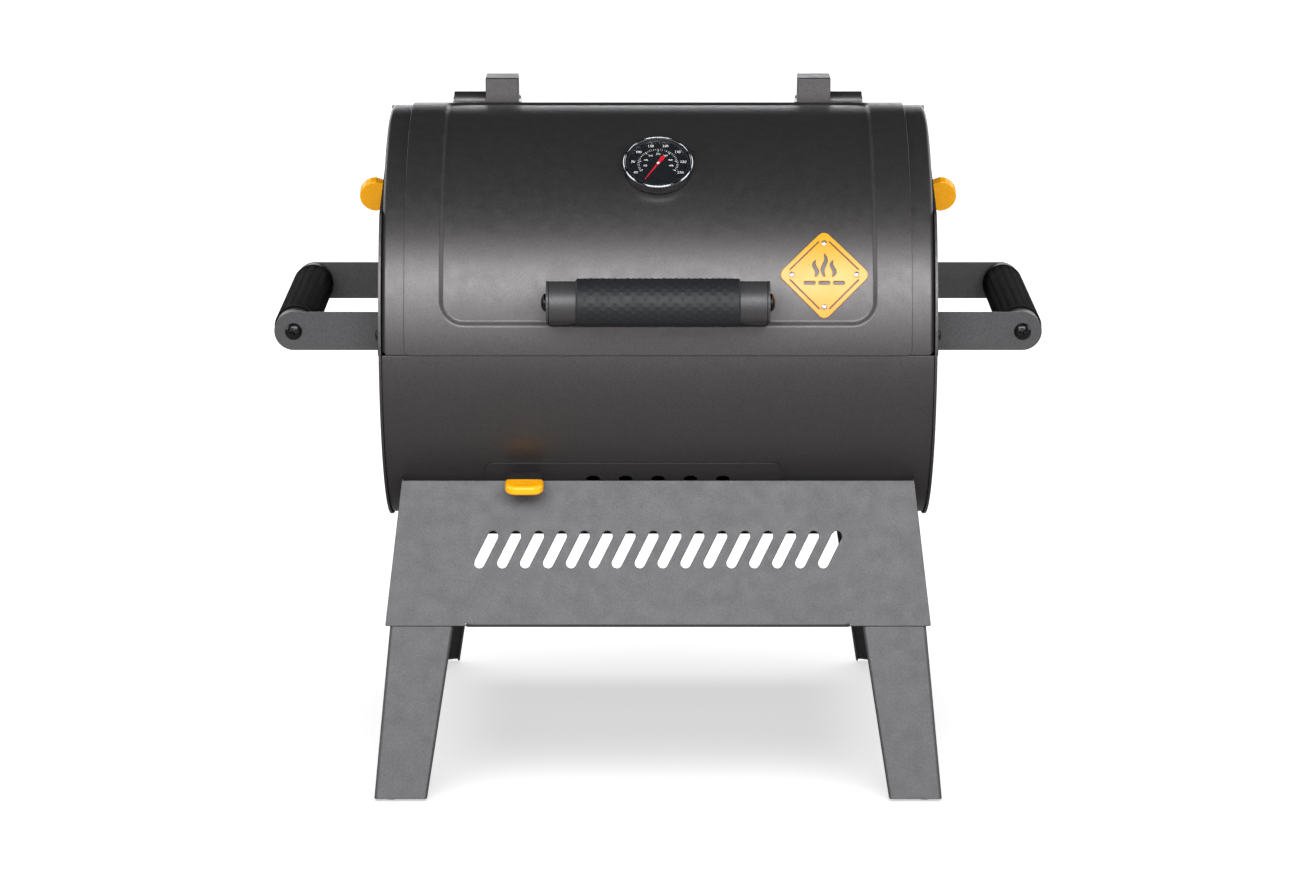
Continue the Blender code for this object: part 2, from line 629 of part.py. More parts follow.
# ---- carry handles -----------------------------------------------------------------------------
def build_side_handle(shop, finishes, side, sign):
    """Carry handle of one end: two bent bars, the tube between them, its sleeve and two screws."""
    paint, rubber, dark = finishes
    height = DRUM_HEIGHT + SIDE_HANDLE_RISE
    root_x = END_PLATE_X + END_PLATE + GAP
    for label, y_sign in (("front", -1.0), ("rear", 1.0)):
        bar_y = DRUM_Y + y_sign * SIDE_BAR_Y
        round_end = arc((SIDE_HANDLE_X, 0.0), SIDE_BAR_HALF_HEIGHT, -90.0, 90.0, 12)
        outline = [(root_x, -SIDE_BAR_HALF_HEIGHT), *round_end, (root_x, SIDE_BAR_HALF_HEIGHT)]
        outline = [(sign * x, z) for x, z in outline]
        hole = circle((sign * SIDE_HANDLE_X, 0.0), SCREW_HOLE_RADIUS, 10)
        plane = place((0.0, bar_y, height), (1, 0, 0), (0, 0, 1))
        bar = shop.add(f"side_bar_{label}_{side}", plate_mesh(outline, [hole], SIDE_BAR, plane), paint)
        foot_start = SIDE_BAR_Y - SIDE_BAR / 2 + 0.0001
        foot = rectangle(foot_start, SIDE_BAR_Y + SIDE_BAR_FOOT, -SIDE_BAR_HALF_HEIGHT, SIDE_BAR_HALF_HEIGHT)
        foot = [(y_sign * y, z * 0.999) for y, z in foot]
        foot_plane = place((sign * (root_x + SIDE_BAR / 2 + 0.00005), DRUM_Y, height), (0, 1, 0), (0, 0, 1))
        foot_mesh = plate_mesh(foot, [], SIDE_BAR, foot_plane)
        combine(bar, shop.add(f"bar_foot_{label}_{side}", foot_mesh, tool=True), "UNION")
        out = Vector((0.0, y_sign, 0.0))
        head_seat = SIDE_BAR_Y + SIDE_BAR / 2 + GAP
        screw_mesh = profile_mesh(screw_profile(0.0072, 0.0040, 0.012), False)
        screw = shop.add(f"side_screw_{label}_{side}", screw_mesh, dark)
        turn_about_z(screw, 12)
        screw.location = Vector((sign * SIDE_HANDLE_X, DRUM_Y, height)) + out * head_seat
        screw.rotation_euler = out.to_track_quat("Z", "Y").to_euler()
    half = SIDE_BAR_Y - SIDE_BAR / 2 - GAP
    tube = shop.add(f"side_tube_{side}", profile_mesh(tube_profile(SIDE_TUBE_RADIUS, half), True), paint)
    grip_mesh = profile_mesh(sleeve_profile(SIDE_TUBE_RADIUS, SIDE_GRIP_RADIUS, SIDE_GRIP_HALF_LENGTH), True)
    grip = shop.add(f"side_grip_{side}", grip_mesh, rubber)
    for piece in (tube, grip):
        turn_about_z(piece, 20)
        piece.location = (sign * SIDE_HANDLE_X, DRUM_Y, height)
        piece.rotation_euler = (math.pi / 2, 0.0, 0.0)


def screw_profile(head_radius, head_height, length):
    """Dome-headed screw seen from the side, with its head seat at height 0."""
    return [(0.0, head_height), (head_radius * 0.5, head_height * 0.88), (head_radius, head_height * 0.35),
            (head_radius, 0.0), (SHANK_RADIUS, 0.0), (SHANK_RADIUS, -length), (0.0, -length)]


def tube_profile(radius, half_length):
    """Tube with a bored plug in each end."""
    wall = 0.0015
    plug = 0.003
    bore = SCREW_HOLE_RADIUS
    return [(radius, half_length), (radius, -half_length), (bore, -half_length), (bore, -half_length + plug),
            (radius - wall, -half_length + plug), (radius - wall, half_length - plug),
            (bore, half_length - plug), (bore, half_length)]


def sleeve_profile(tube_radius, radius, half_length):
    """Soft sleeve over a tube, with its outer edges eased."""
    bore = tube_radius + GAP
    ease = 0.0012
    return [(radius, half_length - ease), (radius, -half_length + ease), (radius - ease, -half_length),
            (bore, -half_length), (bore, half_length), (radius - ease, half_length)]


# ---- the lid -----------------------------------------------------------------------------------
def build_lid_shell(shop, paint, pivot):
    """Rolled lid sheet with its sunk centre panel and the hole for the thermometer's stem."""
    outline = rounded(rectangle(-LID_HALF_LENGTH, LID_HALF_LENGTH, along(LID_FRONT_ANGLE, LID_RADIUS),
                                along(LID_REAR_ANGLE, LID_RADIUS)), LID_CORNER, 3)
    front = along(PANEL_FRONT_ANGLE, LID_RADIUS)
    rear = along(PANEL_REAR_ANGLE, LID_RADIUS)
    rim = rounded(rectangle(-PANEL_HALF_LENGTH, PANEL_HALF_LENGTH, front, rear), PANEL_CORNER, 6)
    floor = rounded(rectangle(-PANEL_HALF_LENGTH + PANEL_STEP, PANEL_HALF_LENGTH - PANEL_STEP,
                              front + PANEL_STEP, rear - PANEL_STEP), PANEL_CORNER - PANEL_STEP, 6)
    hole = circle((0.0, along(THERMOMETER_ANGLE, LID_RADIUS)), STEM_RADIUS + 0.0006, 10)
    levels = [(outline, 0.0), (rim, 0.0), (floor, -PANEL_DEPTH)]
    shell = shop.add("lid_shell", rolled_mesh(levels, [hole], LID_RADIUS), paint, pivot)
    thicken(shell, LID_SHEET)
    move_origin(shell, HINGE_POINT)
    shell.location = (0.0, 0.0, 0.0)


def build_lid_end(shop, paint, pivot, side, sign):
    """Pressed end cap of the lid: a plate down to the chord, with a flange that runs in under the lid sheet."""
    eased = 0.0006
    outline = segment_outline(LID_END_RADIUS - eased, LID_FRONT_ANGLE + 0.3, LID_REAR_ANGLE - 1.5)
    plane = place((sign * (LID_END_X - LID_SHEET / 2), 0.0, 0.0), (0, 1, 0), (0, 0, 1))
    cap = shop.add(f"lid_end_{side}", plate_mesh(outline, [], LID_SHEET, plane), paint, pivot)
    inner_x, outer_x = sorted((sign * (LID_END_X - LID_END_FLANGE), sign * (LID_END_X - eased)))
    strip = rectangle(inner_x, outer_x, along(LID_FRONT_ANGLE + 0.4, LID_END_RADIUS),
                      along(LID_REAR_ANGLE - 1.6, LID_END_RADIUS))
    flange = shop.add(f"lid_flange_{side}", rolled_mesh([(strip, 0.0)], [], LID_END_RADIUS), tool=True)
    thicken(flange, LID_SHEET)
    combine(cap, flange, "UNION")
    move_origin(cap, HINGE_POINT)
    cap.location = (0.0, 0.0, 0.0)


def build_hinge_bracket(shop, paint, pivot, side, sign):
    """Channel-shaped bracket on the lid's rear edge that carries the hinge pin."""
    wall = 0.002
    middle_x = sign * (HINGE_INNER_X + HINGE_OUTER_X) / 2
    width = HINGE_OUTER_X - HINGE_INNER_X
    seat = LID_RADIUS + GAP
    pivot_y, pivot_z = HINGE_POINT.y, HINGE_POINT.z
    foot = []
    for angle in (103.2, 104.8, LID_REAR_ANGLE):
        spot = drum_point(0.0, seat, angle)
        foot.append((spot.y, spot.z))
    top_z = pivot_z + HINGE_TOP
    front_y = foot[0][0]
    eye = arc((pivot_y, pivot_z), HINGE_BARREL_RADIUS - 0.0006, 250.0, 380.0, 8)
    outline = [*foot, *eye, (pivot_y + 0.002, top_z), (front_y + 0.001, top_z), (front_y, top_z - 0.001)]
    hole = circle((pivot_y, pivot_z), HINGE_PIN_RADIUS + 0.0004, 12)
    plane = place((middle_x, 0.0, 0.0), (0, 1, 0), (0, 0, 1))
    bracket = shop.add(f"hinge_bracket_{side}", plate_mesh(outline, [hole], width, plane), paint, pivot)
    move_origin(bracket, HINGE_POINT)
    bracket.location = (0.0, 0.0, 0.0)
    length = 0.060
    centre = (middle_x, front_y + wall + length / 2, top_z - wall - length / 2)
    hollow = box_mesh((width - 2 * wall, length, length), Matrix.Translation(centre))
    combine(bracket, shop.add(f"bracket_hollow_{side}", hollow, tool=True), "DIFFERENCE")


def build_hinge_pin(shop, steel, pivot, side, sign):
    """Headed pin through the bracket and the barrel."""
    head_x = HINGE_INNER_X - GAP
    end_x = HINGE_BARREL_END_X + 0.001
    head = 0.0055
    profile = [(0.0, end_x), (HINGE_PIN_RADIUS - 0.0005, end_x), (HINGE_PIN_RADIUS, end_x - 0.0005),
               (HINGE_PIN_RADIUS, head_x), (head, head_x), (head * 0.8, head_x - 0.0016), (0.0, head_x - 0.0018)]
    pin = shop.add(f"hinge_pin_{side}", profile_mesh(profile, False), steel, pivot)
    turn_about_z(pin, 12)
    pin.rotation_euler = (0.0, sign * math.pi / 2, 0.0)


def build_lid_handle(shop, finishes, pivot):
    """Lid handle: two brackets, the tube between them, its sleeve and two screws."""
    paint, rubber, dark = finishes
    axis = drum_point(0.0, LID_HANDLE_REACH, LID_HANDLE_ANGLE)
    seat = LID_PANEL_RADIUS + GAP
    bracket_x = LID_HANDLE_TUBE_END + GAP + LID_HANDLE_BRACKET / 2
    half_angle = 5.6
    end_radius = 0.018
    for side, sign in (("left", -1.0), ("right", 1.0)):
        outline = []
        for angle in (LID_HANDLE_ANGLE + half_angle, LID_HANDLE_ANGLE, LID_HANDLE_ANGLE - half_angle):
            spot = drum_point(0.0, seat, angle)
            outline.append((spot.y, spot.z))
        facing = 180.0 - LID_HANDLE_ANGLE
        outline += reversed(arc((axis.y, axis.z), end_radius, facing - 90.0, facing + 90.0, 12))
        hole = circle((axis.y, axis.z), SCREW_HOLE_RADIUS, 10)
        plane = place((sign * bracket_x, 0.0, 0.0), (0, 1, 0), (0, 0, 1))
        mesh = plate_mesh(outline, [hole], LID_HANDLE_BRACKET, plane)
        bracket = shop.add(f"handle_bracket_{side}", mesh, paint, pivot)
        inner_x, outer_x = sorted((sign * (bracket_x - 0.018), sign * (bracket_x + LID_HANDLE_BRACKET / 4)))
        foot_radius = seat + LID_HANDLE_BRACKET
        foot = rectangle(inner_x, outer_x, along(LID_HANDLE_ANGLE - half_angle + 0.1, foot_radius),
                         along(LID_HANDLE_ANGLE + half_angle - 0.1, foot_radius))
        foot_tool = shop.add(f"bracket_foot_{side}", rolled_mesh([(foot, 0.0)], [], foot_radius), tool=True)
        thicken(foot_tool, LID_HANDLE_BRACKET - 0.0001)
        combine(bracket, foot_tool, "UNION")
        move_origin(bracket, HINGE_POINT)
        bracket.location = (0.0, 0.0, 0.0)
        screw_mesh = profile_mesh(screw_profile(0.0075, 0.0045, 0.012), False)
        screw = shop.add(f"handle_screw_{side}", screw_mesh, dark, pivot)
        turn_about_z(screw, 12)
        seat_x = bracket_x + LID_HANDLE_BRACKET / 2 + GAP
        screw.location = axis - HINGE_POINT + Vector((sign * seat_x, 0.0, 0.0))
        screw.rotation_euler = (0.0, sign * math.pi / 2, 0.0)
    tube_mesh = profile_mesh(tube_profile(LID_HANDLE_TUBE_RADIUS, LID_HANDLE_TUBE_END), True)
    tube = shop.add("handle_tube", tube_mesh, paint, pivot)
    sleeve = sleeve_profile(LID_HANDLE_TUBE_RADIUS, LID_HANDLE_GRIP_RADIUS, LID_HANDLE_GRIP_END)
    grip = shop.add("handle_grip", profile_mesh(sleeve, True), rubber, pivot)
    for piece in (tube, grip):
        turn_about_z(piece, 24)
        piece.location = axis - HINGE_POINT
        piece.rotation_euler = (0.0, math.pi / 2, 0.0)


def build_thermometer(shop, finishes, pivot):
    """Dial thermometer: case with stem, dial, needle, glass and the nut inside the lid."""
    chrome, dial_black, red, clear, steel = finishes
    seat = LID_PANEL_RADIUS + 0.0004
    top = seat + 0.0098
    floor = seat + 0.0050
    wall = BEZEL_RADIUS - 0.0028
    stem_end = seat - 0.066
    case_profile = [(0.0, floor), (wall, floor), (wall, top - 0.0004), (wall + 0.0010, top),
                    (BEZEL_RADIUS, top - 0.0018), (BEZEL_RADIUS, seat + 0.0012), (BEZEL_RADIUS - 0.0014, seat),
                    (STEM_RADIUS, seat), (STEM_RADIUS, stem_end + 0.001), (0.0, stem_end)]
    turn = outward(THERMOMETER_ANGLE).to_track_quat("Z", "Y").to_euler()
    axis_foot = Vector((0.0, DRUM_Y, DRUM_HEIGHT)) - HINGE_POINT
    pieces = [("thermometer_case", case_profile, False, chrome, 28)]
    disc = wall - GAP
    for name, low, thickness, finish in (("thermometer_dial", floor + GAP, 0.0008, dial_black),
                                         ("thermometer_glass", floor + 0.0030, 0.0010, clear)):
        profile = [(0.0, low + thickness), (disc, low + thickness), (disc, low), (0.0, low)]
        pieces.append((name, profile, False, finish, 28))
    nut_low = seat - LID_SHEET - 0.0062
    nut_bore = (STEM_RADIUS + 0.0004) / math.cos(math.pi / 6)
    nut_profile = [(0.0085, nut_low + 0.005), (0.0085, nut_low), (nut_bore, nut_low), (nut_bore, nut_low + 0.005)]
    pieces.append(("thermometer_nut", nut_profile, True, steel, 6))
    for name, profile, closed, finish, steps in pieces:
        piece = shop.add(name, profile_mesh(profile, closed), finish, pivot)
        turn_about_z(piece, steps)
        piece.location = axis_foot
        piece.rotation_euler = turn
    pointer = [(-0.0022, -0.009), (0.0022, -0.009), (0.0016, 0.0), (0.0002, 0.021), (-0.0002, 0.021), (-0.0016, 0.0)]
    point = drum_point(0.0, floor + 0.0018, THERMOMETER_ANGLE)
    needle_turn = Matrix.Rotation(math.radians(-NEEDLE_REST), 4, "Z")
    frame = place((0.0, 0.0, 0.0), (1, 0, 0), upward(THERMOMETER_ANGLE)) @ needle_turn
    needle = shop.add("thermometer_needle", plate_mesh(pointer, [], 0.0006, frame), red, pivot)
    needle.location = point - HINGE_POINT


def build_badge(shop, yellow, pivot):
    """Square badge plate turned on its corner and curved to the lid."""
    thickness = 0.0015
    radius = LID_PANEL_RADIUS + GAP + thickness
    reach = BADGE_SIDE / math.sqrt(2)
    centre_y = along(BADGE_ANGLE, radius)
    corners = [(BADGE_X, centre_y - reach), (BADGE_X + reach, centre_y), (BADGE_X, centre_y + reach),
               (BADGE_X - reach, centre_y)]
    mesh = rolled_mesh([(rounded(corners, BADGE_CORNER, 4), 0.0)], [], radius, 2.0)
    badge = shop.add("badge_plate", mesh, yellow, pivot)
    thicken(badge, thickness)
    move_origin(badge, HINGE_POINT)
    badge.location = (0.0, 0.0, 0.0)


# ---- air controls ------------------------------------------------------------------------------
def tab_grip_outline(width, depth):
    """D-shaped outline of a tab's cap: straight at the root, rounded outside."""
    bow = arc((0.0, depth * 0.35), 1.0, 0.0, 180.0, 10)
    points = []
    for x, y in bow:
        points.append((x * width / 2, depth * 0.35 + (y - depth * 0.35) * depth * 0.65))
    return [(-width * 0.40, 0.0), (width * 0.40, 0.0), *points]


def build_air_slider(shop, finishes):
    """Curved sliding plate over the air holes, its bent tab, the cap on the tab and the two guide rivets."""
    paint, yellow, steel = finishes
    thickness = 0.0015
    radius = DRUM_RADIUS + GAP + thickness
    outline = rounded(rectangle(SLIDER_LEFT, SLIDER_RIGHT, along(SLIDER_BOTTOM_ANGLE, radius),
                                along(SLIDER_TOP_ANGLE, radius)), 0.008, 3)
    holes = [circle((x, along(VENT_ANGLE, radius)), VENT_RADIUS, 10) for x in vent_places()]
    rivet_row = along(SLIDER_RIVET_ANGLE, radius)
    slack = 0.0012
    for x in SLIDER_RIVET_X:
        holes.append(slot((x - SLIDER_TRAVEL / 2, rivet_row), SLIDER_TRAVEL / 2 + slack, 0.0031, 4))
    slider = shop.add("air_slider", rolled_mesh([(outline, 0.0)], holes, radius), paint)
    thicken(slider, thickness)
    root = drum_point(SLIDER_TAB_X, DRUM_RADIUS + GAP + 0.0008, SLIDER_TAB_ANGLE)
    pitch = math.radians(SLIDER_TAB_PITCH)
    forward = Vector((0.0, -math.cos(pitch), -math.sin(pitch)))
    tab_length = 0.036
    matrix = place(root + forward * tab_length / 2, (1, 0, 0), -forward)
    tab = shop.add("slider_tab", box_mesh((SLIDER_TAB_WIDTH, tab_length, thickness), matrix), tool=True)
    combine(slider, tab, "UNION")
    pocket = 0.016
    cap_root = root + forward * (tab_length - pocket)
    cap_matrix = place(cap_root, (-1, 0, 0), forward)
    outline = tab_grip_outline(0.033, 0.020)
    cap = shop.add("slider_grip", plate_mesh(outline, [], 0.009, cap_matrix), yellow)
    hollow_matrix = place(root + forward * (tab_length / 2 + GAP), (1, 0, 0), -forward)
    neck = SLIDER_TAB_WIDTH - 0.0055
    hollow = box_mesh((neck + 2 * GAP, tab_length, thickness + 2 * GAP), hollow_matrix)
    combine(cap, shop.add("slider_pocket", hollow, tool=True), "DIFFERENCE")
    trim_matrix = place(root + forward * (tab_length - pocket / 2 + 0.001), (1, 0, 0), -forward)
    for label, sign in (("left", -1.0), ("right", 1.0)):
        shift = Matrix.Translation((sign * SLIDER_TAB_WIDTH / 2, 0.0, 0.0))
        notch_mesh = box_mesh((0.0062, pocket + 0.002, 0.004), trim_matrix @ shift)
        notch = shop.add(f"tab_notch_{label}", notch_mesh, tool=True)
        combine(slider, notch, "DIFFERENCE")
    for label, x in zip(("left", "right"), SLIDER_RIVET_X):
        profile = rivet_profile(radius + GAP, DRUM_RADIUS - DRUM_SHEET - GAP, 0.0050)
        rivet = shop.add(f"slider_rivet_{label}", profile_mesh(profile, False), steel)
        turn_about_z(rivet, 12)
        rivet.location = drum_point(x, 0.0, SLIDER_RIVET_ANGLE)
        rivet.rotation_euler = outward(SLIDER_RIVET_ANGLE).to_track_quat("Z", "Y").to_euler()


def rivet_profile(outer_seat, inner_seat, head_radius):
    """Rivet through two sheets, from its domed head to its closing head."""
    shank = 0.0025
    return [(0.0, outer_seat + 0.0028), (head_radius * 0.6, outer_seat + 0.0022), (head_radius, outer_seat),
            (shank, outer_seat), (shank, inner_seat), (0.0040, inner_seat), (0.0040, inner_seat - 0.0012),
            (0.0, inner_seat - 0.0012)]


def build_damper(shop, finishes, side, sign):
    """Rotary damper of one end: pierced disc with a bent tab, the cap on the tab and the pivot rivet."""
    paint, yellow, steel = finishes
    thickness = 0.0015
    pivot = Vector((0.0, DRUM_Y, DRUM_HEIGHT + DAMPER_RISE))
    disc_x = sign * (END_PLATE_X + END_PLATE + GAP + thickness / 2)
    holes = [circle(centre, DAMPER_HOLE_RADIUS, 10) for centre in damper_hole_places()]
    holes.append(circle((0.0, 0.0), SHANK_RADIUS, 8))
    plane = place((disc_x, 0.0, 0.0), (0, 1, 0), (0, 0, 1))
    disc_mesh = plate_mesh(circle((0.0, 0.0), DAMPER_RADIUS, 32), holes, thickness, plane)
    disc = shop.add(f"damper_{side}", disc_mesh, paint)
    disc.location = pivot
    turn = math.radians(DAMPER_TAB_ANGLE)
    radial = Vector((0.0, math.cos(turn), math.sin(turn)))
    tangent = Vector((0.0, -math.sin(turn), math.cos(turn)))
    out = Vector((sign, 0.0, 0.0))
    tab_length = 0.0225
    tab_width = 0.018
    base = pivot + Vector((disc_x - sign * thickness * 0.3, 0.0, 0.0)) + radial * (DAMPER_RADIUS - 0.0012)
    tab_matrix = place(base + out * tab_length / 2, tangent, out)
    tab = shop.add(f"damper_tab_{side}", box_mesh((tab_width, tab_length, thickness), tab_matrix), tool=True)
    combine(disc, tab, "UNION")
    cap_root = base + out * 0.0055
    cap_matrix = place(cap_root, tangent * sign, out)
    cap_mesh = plate_mesh(tab_grip_outline(0.031, 0.0225), [], 0.009, cap_matrix)
    cap = shop.add(f"damper_grip_{side}", cap_mesh, yellow)
    cap.data.transform(Matrix.Translation(-pivot))
    cap.location = pivot
    hollow_matrix = place(base + out * (tab_length / 2 + GAP), tangent, out)
    hollow = box_mesh((tab_width + 2 * GAP, tab_length, thickness + 2 * GAP), hollow_matrix)
    combine(cap, shop.add(f"damper_pocket_{side}", hollow, tool=True), "DIFFERENCE")
    outer_seat = END_PLATE_X + END_PLATE + GAP + thickness + GAP
    profile = rivet_profile(outer_seat, END_PLATE_X - GAP, 0.00435)
    rivet = shop.add(f"damper_rivet_{side}", profile_mesh(profile, False), steel)
    turn_about_z(rivet, 12)
    rivet.location = pivot
    rivet.rotation_euler = (0.0, sign * math.pi / 2, 0.0)


# ---- inside the drum ---------------------------------------------------------------------------
def build_cooking_grate(shop, iron):
    """Cast grate with lengthwise bars, resting on the end plates' ledges."""
    half_x = 0.226
    half_y = 0.150
    thickness = 0.008
    bay_half = 0.102
    holes = []
    for bay in (-0.5, 0.5):
        for row in range(11):
            y = (row - 5) * 0.026
            centre_x = bay * (2 * bay_half + 0.012)
            holes.append(rectangle(centre_x - bay_half, centre_x + bay_half, y - 0.009, y + 0.009))
    outline = rounded(rectangle(-half_x, half_x, -half_y, half_y), 0.012, 3)
    height = DRUM_HEIGHT + GRATE_RISE + thickness / 2
    grate = shop.add("cooking_grate", plate_mesh(outline, holes, thickness, Matrix.Identity(4)), iron)
    grate.location = (0.0, DRUM_Y, height)


def build_charcoal_tray(shop, steel):
    """Open pan with splayed walls and a pierced floor."""
    work = bmesh.new()
    bmesh.ops.create_cube(work, size=1.0)
    bmesh.ops.scale(work, vec=Vector(TRAY_SIZE), verts=work.verts)
    for vert in work.verts:
        if vert.co.z < 0.0:
            vert.co.x *= 0.985
            vert.co.y *= 0.90
    lid_face = max(work.faces, key=lambda face: face.calc_center_median().z)
    bmesh.ops.delete(work, geom=[lid_face], context="FACES_ONLY")
    mesh = bpy.data.meshes.new("tray")
    work.to_mesh(mesh)
    work.free()
    tray = shop.add("charcoal_tray", mesh, steel)
    thicken(tray, 0.0012)
    tray.location = (0.0, DRUM_Y, DRUM_HEIGHT + TRAY_RISE + TRAY_SIZE[2] / 2)
    columns, rows = 6, 3
    for column in range(columns):
        for row in range(rows):
            x = (column - (columns - 1) / 2) * 0.062
            y = DRUM_Y + (row - (rows - 1) / 2) * 0.054
            centre = (x, y, DRUM_HEIGHT + TRAY_RISE)
            slot_box = box_mesh((0.040, 0.008, 0.010), Matrix.Translation(centre))
            combine(tray, shop.add(f"tray_slot_{column}_{row}", slot_box, tool=True), "DIFFERENCE")


# ---- the whole grill ---------------------------------------------------------------------------
def build_grill():
    """Build every sub-part in place."""
    clear_scene()
    shop = Workshop()
    lid_paint = new_material("lid powder coat", (0.10, 0.10, 0.10), 0.3, 0.45)
    body_paint = new_material("body powder coat", (0.09, 0.08, 0.08), 0.3, 0.50)
    stand_paint = new_material("stand powder coat", (0.20, 0.19, 0.20), 0.3, 0.50)
    rubber = new_material("black rubber", (0.02, 0.02, 0.02), 0.0, 0.75)
    yellow = new_material("yellow moulding", (0.80, 0.38, 0.01), 0.0, 0.40)
    badge_yellow = new_material("yellow plate", (0.85, 0.45, 0.02), 0.6, 0.35)
    chrome = new_material("chromed steel", (0.70, 0.70, 0.70), 1.0, 0.15)
    steel = new_material("zinc plated steel", (0.55, 0.55, 0.55), 1.0, 0.40)
    black_steel = new_material("blackened screws", (0.03, 0.03, 0.03), 0.8, 0.35)
    iron = new_material("cast iron", (0.03, 0.03, 0.03), 0.4, 0.60)
    dial_black = new_material("dial face", (0.02, 0.02, 0.02), 0.0, 0.50)
    red = new_material("needle paint", (0.70, 0.03, 0.02), 0.0, 0.40)
    clear = new_material("thermometer glass", (0.80, 0.80, 0.80), 0.0, 0.05)

    lid_pivot = bpy.data.objects.new("lid_pivot", None)
    shop.parts.objects.link(lid_pivot)
    lid_pivot.location = HINGE_POINT

    build_drum_shell(shop, body_paint)
    build_base_panel(shop, stand_paint, "front", 1.0, vent_slot_row())
    build_base_panel(shop, stand_paint, "rear", -1.0, [])
    saddle_ends = [Vector((x, DRUM_Y, DRUM_HEIGHT)) for x in (-0.30, 0.30)]
    saddle_mesh = round_bar_mesh(DRUM_RADIUS + GAP, saddle_ends[0], saddle_ends[1], 120)
    saddle = shop.add("saddle_cut", saddle_mesh, tool=True)
    for side, sign in (("left", -1.0), ("right", 1.0)):
        build_body_end(shop, body_paint, side, sign)
        build_base_side(shop, stand_paint, saddle, side, sign)
        build_side_handle(shop, (stand_paint, rubber, black_steel), side, sign)
        build_hinge_barrel(shop, stand_paint, side, sign)
        build_damper(shop, (body_paint, yellow, black_steel), side, sign)
        build_lid_end(shop, lid_paint, lid_pivot, side, sign)
        build_hinge_bracket(shop, stand_paint, lid_pivot, side, sign)
        build_hinge_pin(shop, steel, lid_pivot, side, sign)
        for end, y_sign, extra in (("front", -1.0, 0.0), ("rear", 1.0, REAR_LEG_EXTRA)):
            build_leg(shop, stand_paint, f"leg_{end}_{side}", sign, y_sign, extra)
            build_foot(shop, rubber, f"foot_{end}_{side}", sign, y_sign)
    build_lid_shell(shop, lid_paint, lid_pivot)
    build_lid_handle(shop, (stand_paint, rubber, black_steel), lid_pivot)
    build_thermometer(shop, (chrome, dial_black, red, clear, steel), lid_pivot)
    build_badge(shop, badge_yellow, lid_pivot)
    build_air_slider(shop, (stand_paint, yellow, steel))
    build_cooking_grate(shop, iron)
    build_charcoal_tray(shop, steel)


build_grill()
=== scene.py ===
"""Looks of a tabletop barrel charcoal grill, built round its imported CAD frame.

Lengths inside the classes are millimetres; meshes are written in metres. +Z is up and the front faces -Y. Places
on the drum are polar about its axis: an angle of 0 degrees is the front and 90 degrees the top.
"""
import logging
import math
from collections.abc import Callable, Iterable, Sequence
from dataclasses import dataclass, field
from enum import Enum

import bpy
import numpy as np
from mathutils import Matrix, Vector, geometry


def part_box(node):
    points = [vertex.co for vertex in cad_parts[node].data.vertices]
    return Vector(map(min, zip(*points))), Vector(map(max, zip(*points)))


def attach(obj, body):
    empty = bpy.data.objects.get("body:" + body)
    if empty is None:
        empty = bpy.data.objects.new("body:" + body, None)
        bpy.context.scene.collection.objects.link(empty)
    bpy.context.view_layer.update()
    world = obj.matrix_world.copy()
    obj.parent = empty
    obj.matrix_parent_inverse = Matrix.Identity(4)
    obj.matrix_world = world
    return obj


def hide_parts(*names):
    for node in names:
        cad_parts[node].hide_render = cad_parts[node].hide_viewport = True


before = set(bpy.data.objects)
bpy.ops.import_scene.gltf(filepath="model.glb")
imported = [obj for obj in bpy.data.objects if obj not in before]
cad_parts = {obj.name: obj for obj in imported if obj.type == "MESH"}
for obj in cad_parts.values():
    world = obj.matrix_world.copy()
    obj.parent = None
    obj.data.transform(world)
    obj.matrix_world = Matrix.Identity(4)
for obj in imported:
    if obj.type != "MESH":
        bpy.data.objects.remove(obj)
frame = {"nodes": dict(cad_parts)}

LOG = logging.getLogger("barrel_grill")
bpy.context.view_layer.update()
MM = 0.001
TINY = 1e-6
PROBE = 0.02  # step in millimetres over which a sheet's directions are measured

Point2 = tuple[float, float]
Loop = list[Point2]
Place = Callable[[float, float, float], Vector]


# ---- the frame's own places --------------------------------------------------------------------
def middle(node: str) -> Vector:
    """Centre of a CAD node's box in millimetres.

    Args:
        node: Name of the CAD node.

    Returns:
        The centre at rest.
    """
    low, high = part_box(node)
    return (low + high) / (2 * MM)


END_PLATE_RADIUS = 182.0
DRUM_Y = middle("body_end_left").y
DRUM_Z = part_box("body_end_left")[0].z / MM + END_PLATE_RADIUS


def on_drum(x: float, radius: float, angle: float) -> Vector:
    """Point at a radius and an angle in degrees about the drum's axis, in millimetres."""
    turn = math.radians(angle)
    return Vector((x, DRUM_Y - radius * math.cos(turn), DRUM_Z + radius * math.sin(turn)))


def skin_length(radius: float, angle: float) -> float:
    """Length round a sheet of a radius, from the front to an angle in degrees."""
    return math.radians(angle) * radius


def outward(angle: float) -> Vector:
    """Direction away from the drum's axis at an angle in degrees."""
    turn = math.radians(angle)
    return Vector((0.0, -math.cos(turn), math.sin(turn)))


def upward(angle: float) -> Vector:
    """Direction along the drum's skin, from front to top, at an angle in degrees."""
    turn = math.radians(angle)
    return Vector((0.0, math.sin(turn), math.cos(turn)))


# ---- outlines ----------------------------------------------------------------------------------
def arc(centre: Point2, radius: float, start: float, stop: float, steps: int) -> Loop:
    """Points along an arc from one angle in degrees to another."""
    turns = [math.radians(start + (stop - start) * step / steps) for step in range(steps + 1)]
    return [(centre[0] + radius * math.cos(turn), centre[1] + radius * math.sin(turn)) for turn in turns]


def circle(centre: Point2, radius: float, count: int = 32) -> Loop:
    """Closed anticlockwise circle."""
    return arc(centre, radius, 0.0, 360.0, count)[:-1]


